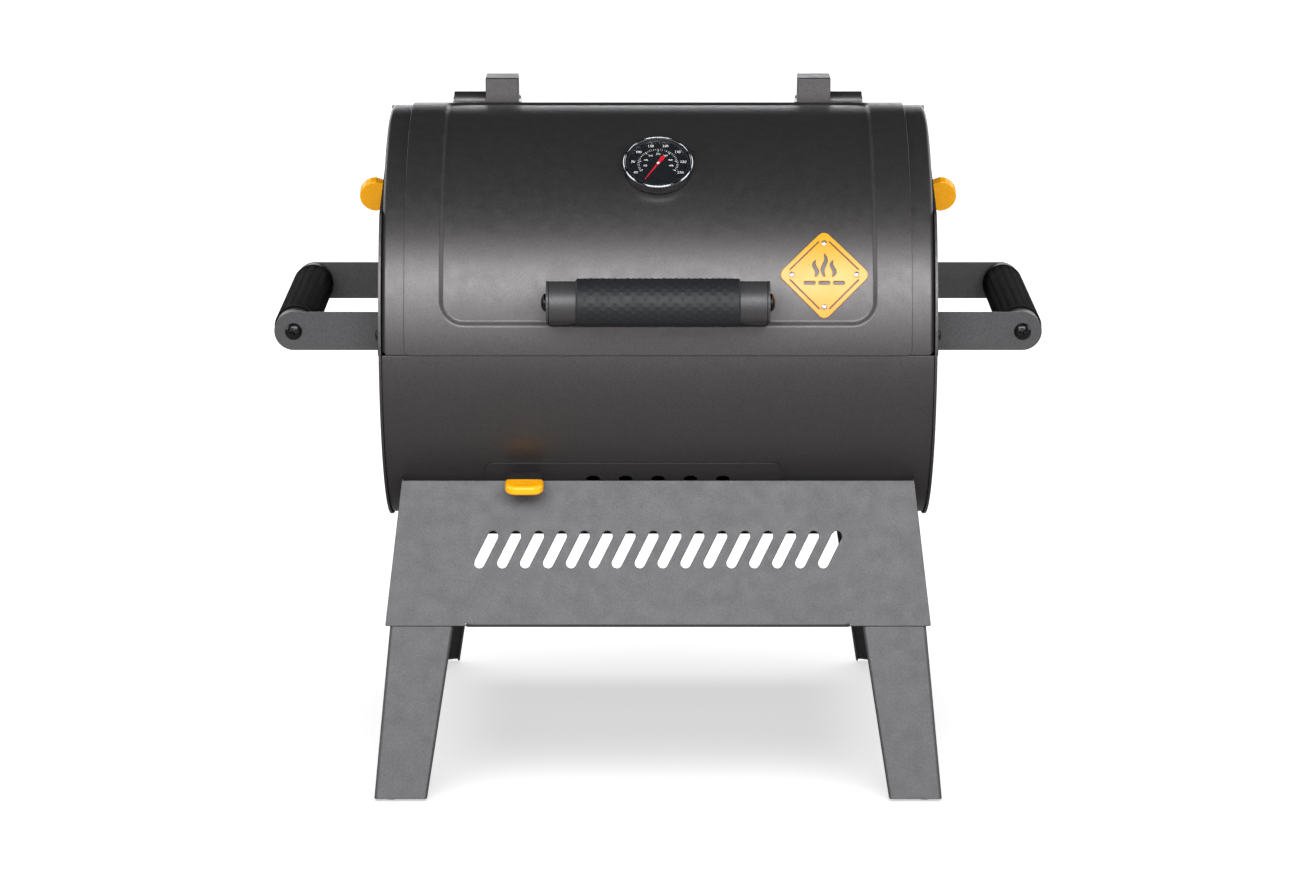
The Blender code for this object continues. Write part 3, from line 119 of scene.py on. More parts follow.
def fillet(corners: Sequence[Point2], radii: float | Sequence[float], steps: int = 6) -> Loop:
    """Closed outline with its corners rounded.

    Args:
        corners: The sharp corners, in order.
        radii: One radius for all corners, or one for each.
        steps: Number of straight runs round each corner.

    Returns:
        The rounded outline, in the same order.
    """
    sizes = [radii] * len(corners) if isinstance(radii, (int, float)) else list(radii)
    points: Loop = []
    for index, corner in enumerate(corners):
        here = Vector(corner)
        if sizes[index] <= 0.0:
            points.append((here.x, here.y))
            continue
        before = (Vector(corners[index - 1]) - here).normalized()
        after = (Vector(corners[(index + 1) % len(corners)]) - here).normalized()
        half = before.angle(after) / 2
        centre = here + (before + after).normalized() * (sizes[index] / math.sin(half))
        spoke = here + before * (sizes[index] / math.tan(half)) - centre
        other = here + after * (sizes[index] / math.tan(half)) - centre
        sweep = math.copysign(math.pi - 2 * half, spoke.x * other.y - spoke.y * other.x)
        for step in range(steps + 1):
            spot = centre + Matrix.Rotation(sweep * step / steps, 2) @ spoke
            points.append((spot.x, spot.y))
    return points


def box_corners(left: float, right: float, low: float, high: float) -> Loop:
    """Four corners, anticlockwise."""
    return [(left, low), (right, low), (right, high), (left, high)]


def slot(centre: Point2, half_length: float, radius: float, turn: float = 0.0, steps: int = 8) -> Loop:
    """Closed anticlockwise slot with round ends, turned by an angle in degrees."""
    loop = [point for end, start in ((half_length, -90.0), (-half_length, 90.0))
            for point in arc((end, 0.0), radius, start, start + 180.0, steps)]
    lean = math.radians(turn)
    cos, sin = math.cos(lean), math.sin(lean)
    return [(centre[0] + x * cos - y * sin, centre[1] + x * sin + y * cos) for x, y in loop]


def densify(loop: Loop, spacing: float) -> Loop:
    """The same outline with no run longer than the spacing."""
    points: Loop = []
    for index, (x, y) in enumerate(loop):
        next_x, next_y = loop[(index + 1) % len(loop)]
        count = max(1, math.ceil(math.hypot(next_x - x, next_y - y) / spacing))
        points += [(x + (next_x - x) * part / count, y + (next_y - y) * part / count) for part in range(count)]
    return points


def mitres(loop: Loop) -> np.ndarray:
    """Outward shift of each corner of an anticlockwise outline that moves its edges out by one unit."""
    points = np.array(loop)
    run = np.roll(points, -1, axis=0) - points
    run /= np.maximum(np.linalg.norm(run, axis=1), 1e-9)[:, None]
    normal = np.stack((run[:, 1], -run[:, 0]), axis=1)
    before = np.roll(normal, 1, axis=0)
    total = normal + before
    length = np.maximum((total * total).sum(axis=1), 0.5)
    return 2 * total / length[:, None]


def inside(points: np.ndarray, loop: Loop) -> np.ndarray:
    """Which points lie inside a closed outline, by counting crossings."""
    ends = np.array(loop)
    x1, y1 = ends[:, 0], ends[:, 1]
    x2, y2 = np.roll(x1, -1), np.roll(y1, -1)
    x, y = points[:, :1], points[:, 1:]
    crosses = (y1 > y) != (y2 > y)
    rise = np.where(y2 == y1, 1e-12, y2 - y1)
    return ((crosses & (x < (x2 - x1) * (y - y1) / rise + x1)).sum(axis=1) % 2) == 1


# ---- meshes ------------------------------------------------------------------------------------
@dataclass
class Skin:
    """Vertices in millimetres, their faces, and a normal for each vertex where one is known."""

    points: list[Vector] = field(default_factory=list)
    faces: list[tuple[int, ...]] = field(default_factory=list)
    normals: list[Vector] = field(default_factory=list)

    def join(self, other: "Skin") -> "Skin":
        """Adds another skin to this one.

        Args:
            other: The skin to take in.

        Returns:
            This skin.
        """
        base = len(self.points)
        self.points += other.points
        self.normals += other.normals
        self.faces += [tuple(base + index for index in face) for face in other.faces]
        return self

    def moved(self, matrix: Matrix) -> "Skin":
        """A copy placed by a matrix whose translation is in millimetres."""
        flip = matrix.to_3x3().determinant() < 0.0
        turn = matrix.to_3x3().inverted().transposed()
        faces = [face[::-1] for face in self.faces] if flip else list(self.faces)
        return Skin([matrix @ point for point in self.points], faces,
                    [(turn @ way).normalized() for way in self.normals])

    def mesh(self, name: str) -> bpy.types.Mesh:
        """Mesh in metres, smooth, with the known normals."""
        made = bpy.data.meshes.new(name)
        made.from_pydata([tuple(point * MM) for point in self.points], [], self.faces)
        made.shade_smooth()
        if self.normals:
            made.normals_split_custom_set_from_vertices([tuple(way) for way in self.normals])
        return made


@dataclass
class Sheet:
    """A piece of sheet with rounded rims, cut flat and then rolled or bent by its place function.

    Attributes:
        outline: Anticlockwise outer loop on the flat sheet.
        place: Puts a point (u, v, depth below the show face) of the flat sheet where it belongs.
        thickness: Thickness of the sheet.
        holes: Anticlockwise loops cut away.
        contours: Loops that the mesh must follow, such as the edges of a step.
        columns: Places along u of the inner points.
        rows: Places along v of the inner points.
        rim: Radius of the rounded rims.
        crowded: Says where no inner point may stand.
        rim_steps: Steps round a quarter of a rim.
    """

    outline: Loop
    place: Place
    thickness: float
    holes: Sequence[Loop] = ()
    contours: Sequence[Loop] = ()
    columns: Sequence[float] = ()
    rows: Sequence[float] = ()
    rim: float = 0.5
    crowded: Callable[[float, float], bool] | None = None
    rim_steps: int = 3

    def across(self, u: float, v: float) -> Vector:
        """Direction square to the sheet at a flat point, by the right-hand rule from u to v."""
        along_u = self.place(u + PROBE, v, 0.0) - self.place(u - PROBE, v, 0.0)
        along_v = self.place(u, v + PROBE, 0.0) - self.place(u, v - PROBE, 0.0)
        return along_u.cross(along_v).normalized()

    def normal(self, u: float, v: float) -> Vector:
        """Direction that the show face looks in at a point of the flat sheet."""
        way = self.across(u, v)
        return way if way.dot(self.place(u, v, 0.0) - self.place(u, v, self.thickness)) > 0.0 else -way

    def lattice(self, loops: Sequence[Loop]) -> Loop:
        """Inner points that stand clear of every loop."""
        if not self.columns or not self.rows:
            return []
        grid = np.array([(u, v) for u in self.columns for v in self.rows])
        keep = inside(grid, self.outline)
        for loop in self.holes:
            keep &= ~inside(grid, loop)
        every = np.array([point for loop in loops for point in loop])
        gap = 0.35 * min(np.diff(np.array(line)).min(initial=9.0) for line in (self.columns, self.rows))
        for index in np.flatnonzero(keep):
            near = np.abs(every - grid[index]).max(axis=1).min()
            if near < gap or (self.crowded and self.crowded(*grid[index])):
                keep[index] = False
        return [tuple(point) for point in grid[keep]]

    def skin(self) -> Skin:
        """The closed sheet: show face, back face and the rounded rims between them."""
        rim = min(self.rim, self.thickness / 2)
        edges = [(self.outline, mitres(self.outline))] + [(loop, -mitres(loop)) for loop in self.holes]
        inset = [[tuple(point) for point in np.array(loop) - shift * rim] for loop, shift in edges]
        loops = [*inset, *self.contours]
        points = [Vector(point) for loop in loops for point in loop]
        links, start = [], 0
        for loop in loops:
            links += [(start + index, start + (index + 1) % len(loop)) for index in range(len(loop))]
            start += len(loop)
        points += [Vector(point) for point in self.lattice(loops)]
        verts, _, faces, origins, _, _ = geometry.delaunay_2d_cdt(points, links, [], 0, 1e-4, True)
        owner = {source: index for index, sources in enumerate(origins) for source in sources}
        middles = np.array([sum((verts[index] for index in face), Vector((0.0, 0.0))) / len(face) for face in faces])
        keep = inside(middles, inset[0])
        for loop in inset[1:]:
            keep &= ~inside(middles, loop)
        flat = [face for face, kept in zip(faces, keep) if kept]
        used = sorted({index for face in flat for index in face})
        index_of = {old: new for new, old in enumerate(used)}
        uv = [verts[index] for index in used]
        count = len(uv)
        ways = [self.normal(u, v) for u, v in uv]
        made = Skin()
        made.points = [self.place(u, v, 0.0) for u, v in uv] + [self.place(u, v, self.thickness) for u, v in uv]
        made.normals = ways + [-way for way in ways]
        made.faces = [tuple(index_of[i] for i in face) for face in flat]
        made.faces += [tuple(count + index_of[i] for i in reversed(face)) for face in flat]
        start = 0
        for (loop, shift), edge in zip(edges, inset):
            top = [index_of[owner[start + index]] for index in range(len(edge))]
            start += len(edge)
            self.add_rim(made, loop, shift, rim, top, [count + index for index in top])
        if self.across(*uv[0]).dot(ways[0]) < 0.0:
            made.faces = [face[::-1] for face in made.faces]
        return made

    def add_rim(self, made: Skin, loop: Loop, shift: np.ndarray, rim: float, top: list[int],
                bottom: list[int]) -> None:
        """Adds one rounded rim between the two faces.

        Args:
            made: The skin so far.
            loop: The edge on the flat sheet.
            shift: Its mitred outward shifts.
            rim: Radius of the rounding.
            top: Vertices of the show face along the edge.
            bottom: Vertices of the back face along the edge.
        """
        turns = [math.pi / 2 * step / self.rim_steps for step in range(1, self.rim_steps + 1)]
        levels = [(turn, rim * (1 - math.cos(turn)), 1.0) for turn in turns]
        under = [(turn, self.thickness - rim * (1 - math.cos(turn)), -1.0) for turn in reversed(turns)]
        if self.thickness - 2 * rim < 1e-3:
            under = under[1:]
        rings = [top]
        for turn, depth, face in levels + under:
            inset = rim * (1 - math.sin(turn))
            rings.append(list(range(len(made.points), len(made.points) + len(loop))))
            for index, ((u, v), push) in enumerate(zip(loop, shift)):
                at = (u - push[0] * inset, v - push[1] * inset)
                reach = PROBE / max(np.hypot(*push), TINY)
                spot = self.place(*at, depth)
                side = self.place(at[0] + push[0] * reach, at[1] + push[1] * reach, depth) - spot
                way = made.normals[top[index]] * (face * math.cos(turn)) + side.normalized() * math.sin(turn)
                made.points.append(spot)
                made.normals.append(way.normalized())
        rings.append(bottom)
        turn_over = -1 if any(loop is hole for hole in self.holes) else 1
        for upper, lower in zip(rings, rings[1:]):
            for index in range(len(loop)):
                after = (index + 1) % len(loop)
                made.faces.append((upper[index], lower[index], lower[after], upper[after])[::turn_over])


def turned(profile: Loop, segments: int, relief: Callable[[float, float, float], float] | None = None) -> Skin:
    """Shape turned about Z from a profile of (radius, height) that runs anticlockwise.

    Args:
        profile: The profile: closed, unless it starts on the axis, where it then ends too.
        segments: Steps round the axis.
        relief: Height added at (radius, height, turn in radians), for flutes and dimples.

    Returns:
        The turned skin.
    """
    closed = profile[0][0] > TINY
    points = np.array(profile)
    run = np.roll(points, -1, axis=0) - points
    if not closed:
        run[-1] = (-1.0, 0.0)
    normal = np.stack((run[:, 1], -run[:, 0]), axis=1)
    before = np.roll(normal, 1, axis=0)
    if not closed:
        before[0] = normal[0]
    ways = normal + before
    ways /= np.maximum(np.linalg.norm(ways, axis=1), 1e-9)[:, None]
    made = Skin()
    rings: list[list[int]] = []
    for (radius, height), (out, up) in zip(profile, ways):
        first = len(made.points)
        if radius < TINY:
            made.points.append(Vector((0.0, 0.0, height)))
            made.normals.append(Vector((0.0, 0.0, math.copysign(1.0, up))))
            rings.append([first] * segments)
            continue
        rings.append(list(range(first, first + segments)))
        for step in range(segments):
            turn = 2 * math.pi * step / segments
            reach = radius + (relief(radius, height, turn) if relief else 0.0)
            made.points.append(Vector((reach * math.cos(turn), reach * math.sin(turn), height)))
            made.normals.append(Vector((out * math.cos(turn), out * math.sin(turn), up)))
    for lower, upper in zip(rings, rings[1:] + (rings[:1] if closed else [])):
        for step in range(segments):
            after = (step + 1) % segments
            face = tuple(dict.fromkeys((lower[step], lower[after], upper[after], upper[step])))
            if len(face) > 2:
                made.faces.append(face)
    if relief:
        made.normals = []
    return made


def loft(path: Sequence[Vector], radii: Sequence[float], squash: float, sides: int, up: Vector) -> Skin:
    """Closed round bead along a path, with a radius at each point.

    Args:
        path: Points of the middle line.
        radii: Radius at each point; the ends may be small.
        squash: Height of the section over its width.
        sides: Sides of the section.
        up: Direction that the squashed height runs in.

    Returns:
        The bead.
    """
    made = Skin()
    rings = []
    for index, (spot, radius) in enumerate(zip(path, radii)):
        run = (path[min(index + 1, len(path) - 1)] - path[max(index - 1, 0)]).normalized()
        across = run.cross(up).normalized()
        rise = across.cross(run)
        rings.append([len(made.points) + side for side in range(sides)])
        for side in range(sides):
            turn = 2 * math.pi * side / sides
            made.points.append(spot + across * (radius * math.cos(turn)) + rise * (radius * squash * math.sin(turn)))
    for lower, upper in zip(rings, rings[1:]):
        made.faces += [(lower[side], lower[(side + 1) % sides], upper[(side + 1) % sides], upper[side])
                       for side in range(sides)]
    made.faces += [tuple(reversed(rings[0])), tuple(rings[-1])]
    return made


def facing(origin: Vector, x_way: Sequence[float], y_way: Sequence[float]) -> Matrix:
    """Matrix that stands a local frame at an origin, with its X and Y along two square directions."""
    x_axis, y_axis = Vector(x_way).normalized(), Vector(y_way).normalized()
    turn = Matrix((x_axis, y_axis, x_axis.cross(y_axis))).transposed().to_4x4()
    return Matrix.Translation(origin) @ turn


def standing(origin: Vector, way: Vector) -> Matrix:
    """Matrix that points local Z along a direction from an origin."""
    return Matrix.Translation(origin) @ way.to_track_quat("Z", "Y").to_matrix().to_4x4()


def flat(matrix: Matrix) -> Place:
    """Place function of a flat sheet: u and v along the matrix's X and Y, the show face towards its Z."""
    return lambda u, v, depth: matrix @ Vector((u, v, -depth))


# ---- finishes ----------------------------------------------------------------------------------
def linear(shade: str) -> tuple[float, float, float, float]:
    """Linear colour of an sRGB hex value such as #7c7a7c."""
    parts = [int(shade[start:start + 2], 16) / 255 for start in (1, 3, 5)]
    red, green, blue = (part / 12.92 if part <= 0.04045 else ((part + 0.055) / 1.055) ** 2.4 for part in parts)
    return (red, green, blue, 1.0)


def add_node(tree: bpy.types.NodeTree, kind: str, values: dict | None = None,
             links: dict | None = None) -> bpy.types.Node:
    """Adds a shader node with its settings and links.

    Args:
        tree: Node tree to add to.
        kind: Type of the node, without its ShaderNode prefix.
        values: Input defaults by name or number, and the node's own settings by lower-case name.
        links: Output sockets of other nodes, by the name or number of the input they feed.

    Returns:
        The new node.
    """
    node = tree.nodes.new(f"ShaderNode{kind}")
    for key, value in (values or {}).items():
        if isinstance(key, str) and key.islower():
            setattr(node, key, value)
    for key, value in (values or {}).items():
        if isinstance(key, int) or not key.islower():
            node.inputs[key].default_value = value
    for key, socket in (links or {}).items():
        tree.links.new(socket, node.inputs[key])
    return node


def by_ray(tree: bpy.types.NodeTree, thrown: bpy.types.NodeSocket, seen: bpy.types.NodeSocket) -> bpy.types.NodeSocket:
    """Shader that is one thing to the eye and another as the light it throws.

    Args:
        tree: Node tree to add to.
        thrown: What every other ray meets.
        seen: What the eye meets.

    Returns:
        The mixed shader.
    """
    path = add_node(tree, "LightPath").outputs["Is Camera Ray"]
    return add_node(tree, "MixShader", links={0: path, 1: thrown, 2: seen}).outputs["Shader"]


@dataclass(frozen=True)
class Finish:
    """A surface with a fine grain: its colour wanders between two shades and its height with it.

    Attributes:
        name: Common name of the material and how its surface was made.
        shade: Main colour.
        fleck: Colour of the grain's other end.
        metallic: Share of metal in the look.
        roughness: Middle roughness.
        swing: How far the roughness wanders each way.
        grain_mm: Size of one grain.
        relief_mm: Height of the grain.
        broad_mm: Size of the slow waves in the surface.
        broad_relief_mm: Height of the slow waves.
        ior: Index of refraction.
        alpha: How much of the surface is there to the eye.
    """

    name: str
    shade: str
    fleck: str
    metallic: float
    roughness: float
    swing: float
    grain_mm: float
    relief_mm: float
    broad_mm: float = 14.0
    broad_relief_mm: float = 0.0
    ior: float = 1.5
    alpha: float = 1.0

    def material(self) -> bpy.types.Material:
        """The finished material, made once."""
        return bpy.data.materials.get(self.name) or self.mix()

    def mix(self) -> bpy.types.Material:
        """Makes the material's nodes.

        Returns:
            The new material.
        """
        made = bpy.data.materials.new(self.name)
        made.use_nodes = True
        tree = made.node_tree
        shader = tree.nodes["Principled BSDF"]
        shader.inputs["Metallic"].default_value = self.metallic
        shader.inputs["Alpha"].default_value = self.alpha
        if self.metallic < 0.99:
            shader.inputs["IOR"].default_value = self.ior
        place = add_node(tree, "TexCoord").outputs["Object"]
        grain, broad = (add_node(tree, "TexNoise", {"Scale": 1.0 / (size * MM), "Detail": detail, "Roughness": rough},
                                 {"Vector": place}).outputs["Fac"]
                        for size, detail, rough in ((self.grain_mm, 3.0, 0.65), (self.broad_mm, 2.0, 0.5)))
        spread = add_node(tree, "MapRange", {"From Min": 0.36, "From Max": 0.64}, {"Value": grain})
        colour = add_node(tree, "Mix", {"data_type": "RGBA", 6: linear(self.shade), 7: linear(self.fleck)},
                          {0: spread.outputs["Result"]})
        rough = add_node(tree, "MapRange", {"From Min": 0.3, "From Max": 0.7, "To Min": self.roughness - self.swing,
                                            "To Max": self.roughness + self.swing}, {"Value": broad})
        tree.links.new(colour.outputs[2], shader.inputs["Base Color"])
        tree.links.new(rough.outputs["Result"], shader.inputs["Roughness"])
        bump = add_node(tree, "Bump", {"Strength": 1.0, "Distance": self.relief_mm * MM}, {"Height": grain})
        if self.broad_relief_mm > 0.0:
            bump = add_node(tree, "Bump", {"Strength": 1.0, "Distance": self.broad_relief_mm * MM},
                            {"Height": broad, "Normal": bump.outputs["Normal"]})
        tree.links.new(bump.outputs["Normal"], shader.inputs["Normal"])
        return made


# Textured polyester powder coat, sprayed and baked: a dry satin grey with a fine sparkle of lighter grain. The real
# grain is about 0.3 mm, drawn at 1.1 mm so that it shows.
BARREL_COAT = Finish("charcoal_powder_coat_baked", "#454343", "#504d4d", 0.75, 0.42, 0.03, 1.1, 0.008, 9.0, 0.05)
# The same coat on the stand and the handles: flatter and less metallic.
STAND_COAT = Finish("grey_powder_coat_baked", "#3a3839", "#484647", 0.42, 0.48, 0.03, 1.1, 0.010, 12.0, 0.03)
# Sprayed heat paint inside the drum: a dead, slightly brown black.
INSIDE_COAT = Finish("black_heat_paint_sprayed", "#1b1a19", "#2a2826", 0.0, 0.62, 0.06, 1.4, 0.03)
# Moulded nylon of the carry sleeves: a matt black that shows its flutes by their shadows alone.
SLEEVE_NYLON = Finish("black_polyamide_moulded", "#0c0c0c", "#131212", 0.0, 0.82, 0.04, 1.2, 0.006, ior=1.08)
# Moulded rubber: near black with a dull, slightly bluish sheen.
SLEEVE_RUBBER = Finish("black_rubber_moulded", "#16171a", "#1e2022", 0.0, 0.56, 0.05, 0.8, 0.012, ior=1.38)
# Moulded polyamide: warm yellow with a soft gloss.
YELLOW_MOULDING = Finish("yellow_polyamide_moulded", "#f4a200", "#ffb008", 0.0, 0.34, 0.04, 1.6, 0.006)
# Powder-coated badge plate: the same yellow, smoother and flatter.
BADGE_COAT = Finish("yellow_powder_coat_baked", "#d48c06", "#de960e", 0.0, 0.34, 0.04, 1.0, 0.006)
# Chrome on pressed steel: a mirror with very little haze.
CHROME = Finish("chrome_plated_steel", "#7b7c7f", "#88898c", 1.0, 0.13, 0.03, 2.0, 0.001)
# Zinc on rolled steel: a pale, slightly blotched grey metal.
ZINC = Finish("zinc_plated_steel_rolled", "#a3a29e", "#bcbbb6", 1.0, 0.34, 0.08, 0.9, 0.006)
# Black oxide on turned steel: dark, with sharp small lights.
BLACK_STEEL = Finish("black_oxide_steel_machined", "#1c1c1c", "#2a2a2b", 0.8, 0.2, 0.06, 0.8, 0.004)
# Printed dial, its figures and the needle's enamel: even and nearly flat.
DIAL_BLACK = Finish("black_dial_print", "#101112", "#17181a", 0.0, 0.42, 0.03, 1.0, 0.002)
DIAL_WHITE = Finish("white_dial_print", "#d9dadb", "#e8e8e8", 0.0, 0.5, 0.03, 0.8, 0.001)
NEEDLE_RED = Finish("red_needle_enamel", "#d4122c", "#e01b35", 0.0, 0.35, 0.03, 0.8, 0.001)
# Float glass: the light goes through it and its face gives a faint gloss.
PANE = Finish("clear_glass_float", "#22282c", "#262c30", 0.0, 0.03, 0.01, 3.0, 0.0005, alpha=0.07)
# Cast iron under matt enamel: black with a coarse sandy skin.
CAST_IRON = Finish("enamelled_cast_iron", "#1a1a1a", "#29292a", 0.1, 0.5, 0.08, 1.6, 0.06)


# ---- the workshop ------------------------------------------------------------------------------
class Slot(Enum):
    """Material slots of the record."""

    BODY = "body_paint"
    LID = "lid_paint"
    STAND = "stand_paint"
    RUBBER = "rubber"
    YELLOW = "yellow_moulding"
    BADGE = "badge_plate"
    CHROME = "chrome"
    DIAL = "dial_face"
    GLASS = "clear_glass"
    NEEDLE = "needle_paint"
    ZINC = "zinc_steel"
    BLACK = "black_steel"
    IRON = "cast_iron"


class Side(Enum):
    """The two ends of the grill, with the sign of their X."""

    LEFT = -1.0
    RIGHT = 1.0

    @property
    def word(self) -> str:
        """The side's name as the CAD nodes spell it."""
        return self.name.lower()


def put(name: str, data: bpy.types.ID) -> bpy.types.Object:
    """A new object in the scene."""
    made = bpy.data.objects.new(name, data)
    bpy.context.scene.collection.objects.link(made)
    return made


@dataclass
class Workshop:
    """Puts pieces in the scene and on their bodies, and counts them."""

    nodes: dict[str, bpy.types.Object]
    made: int = 0

    def add(self, name: str, skin: Skin, body: str, slot_name: Slot, finish: Finish,
            replaces: Iterable[str] = ()) -> None:
        """Adds a piece.

        Args:
            name: Name of the piece.
            skin: Its shape.
            body: The CAD body it moves with.
            slot_name: The record's slot for its finish; not used.
            finish: Its finish.
            replaces: CAD nodes that it stands for.
        """
        mesh = skin.mesh(name)
        mesh.materials.append(finish.material())
        piece = put(name, mesh)
        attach(piece, body)
        if replaces:
            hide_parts(*replaces)
        self.made += 1
        LOG.info("%s: %d faces on %s", name, len(mesh.polygons), body)

    def keep(self, node: str, finish: Finish, rim_mm: float = 0.5, steps: int = 3) -> None:
        """Keeps a CAD node, with its finish and its edges eased.

        Args:
            node: Name of the CAD node.
            finish: Its finish.
            rim_mm: Radius of the eased edges; 0 leaves the node's mesh as it is.
            steps: Steps across an eased edge.
        """
        piece = self.nodes[node]
        piece.data.materials.clear()
        piece.data.materials.append(finish.material())
        LOG.info("%s: kept from the frame", node)
        if rim_mm <= 0.0:
            return
        for name, kind, settings in (
                ("weld", "WELD", {"merge_threshold": 0.00002}),
                ("merge flats", "DECIMATE", {"decimate_type": "DISSOLVE", "angle_limit": math.radians(1.0)}),
                ("eased edges", "BEVEL", {"width": rim_mm * MM, "segments": steps, "limit_method": "ANGLE",
                                          "angle_limit": math.radians(35.0), "use_clamp_overlap": True,
                                          "miter_outer": "MITER_ARC"}),
                ("smooth flats", "WEIGHTED_NORMAL", {"keep_sharp": True})):
            modifier = piece.modifiers.new(name, kind)
            for key, value in settings.items():
                setattr(modifier, key, value)


# ---- the studio --------------------------------------------------------------------------------
@dataclass(frozen=True)
class Softbox:
    """A rectangular studio light that looks at the grill's middle.

    Attributes:
        name: What the light does.
        azimuth: Degrees round from the front, positive to the grill's right.
        elevation: Degrees above the floor's level.
        distance: Metres from the grill's middle.
        width: Metres.
        height: Metres.
        watts: Power.
        tint: Colour of the light, a little cool by default.
    """

    name: str
    azimuth: float
    elevation: float
    distance: float
    width: float
    height: float
    watts: float
    tint: tuple[float, float, float] = (0.955, 0.98, 1.0)

    def build(self, target: Vector, receivers: bpy.types.Collection) -> None:
        """Adds the light.

        Args:
            target: Point in metres that the light looks at.
            receivers: What the light falls on.
        """
        lamp = bpy.data.lights.new(self.name, "AREA")
        lamp.shape = "RECTANGLE"
        lamp.size, lamp.size_y = self.width, self.height
        lamp.energy, lamp.color = self.watts, self.tint
        holder = put(self.name, lamp)
        swing, rise = math.radians(self.azimuth), math.radians(self.elevation)
        way = Vector((math.sin(swing) * math.cos(rise), -math.cos(swing) * math.cos(rise), math.sin(rise)))
        holder.location = target + way * self.distance
        holder.rotation_euler = way.to_track_quat("Z", "Y").to_euler()
        holder.light_linking.receiver_collection = receivers


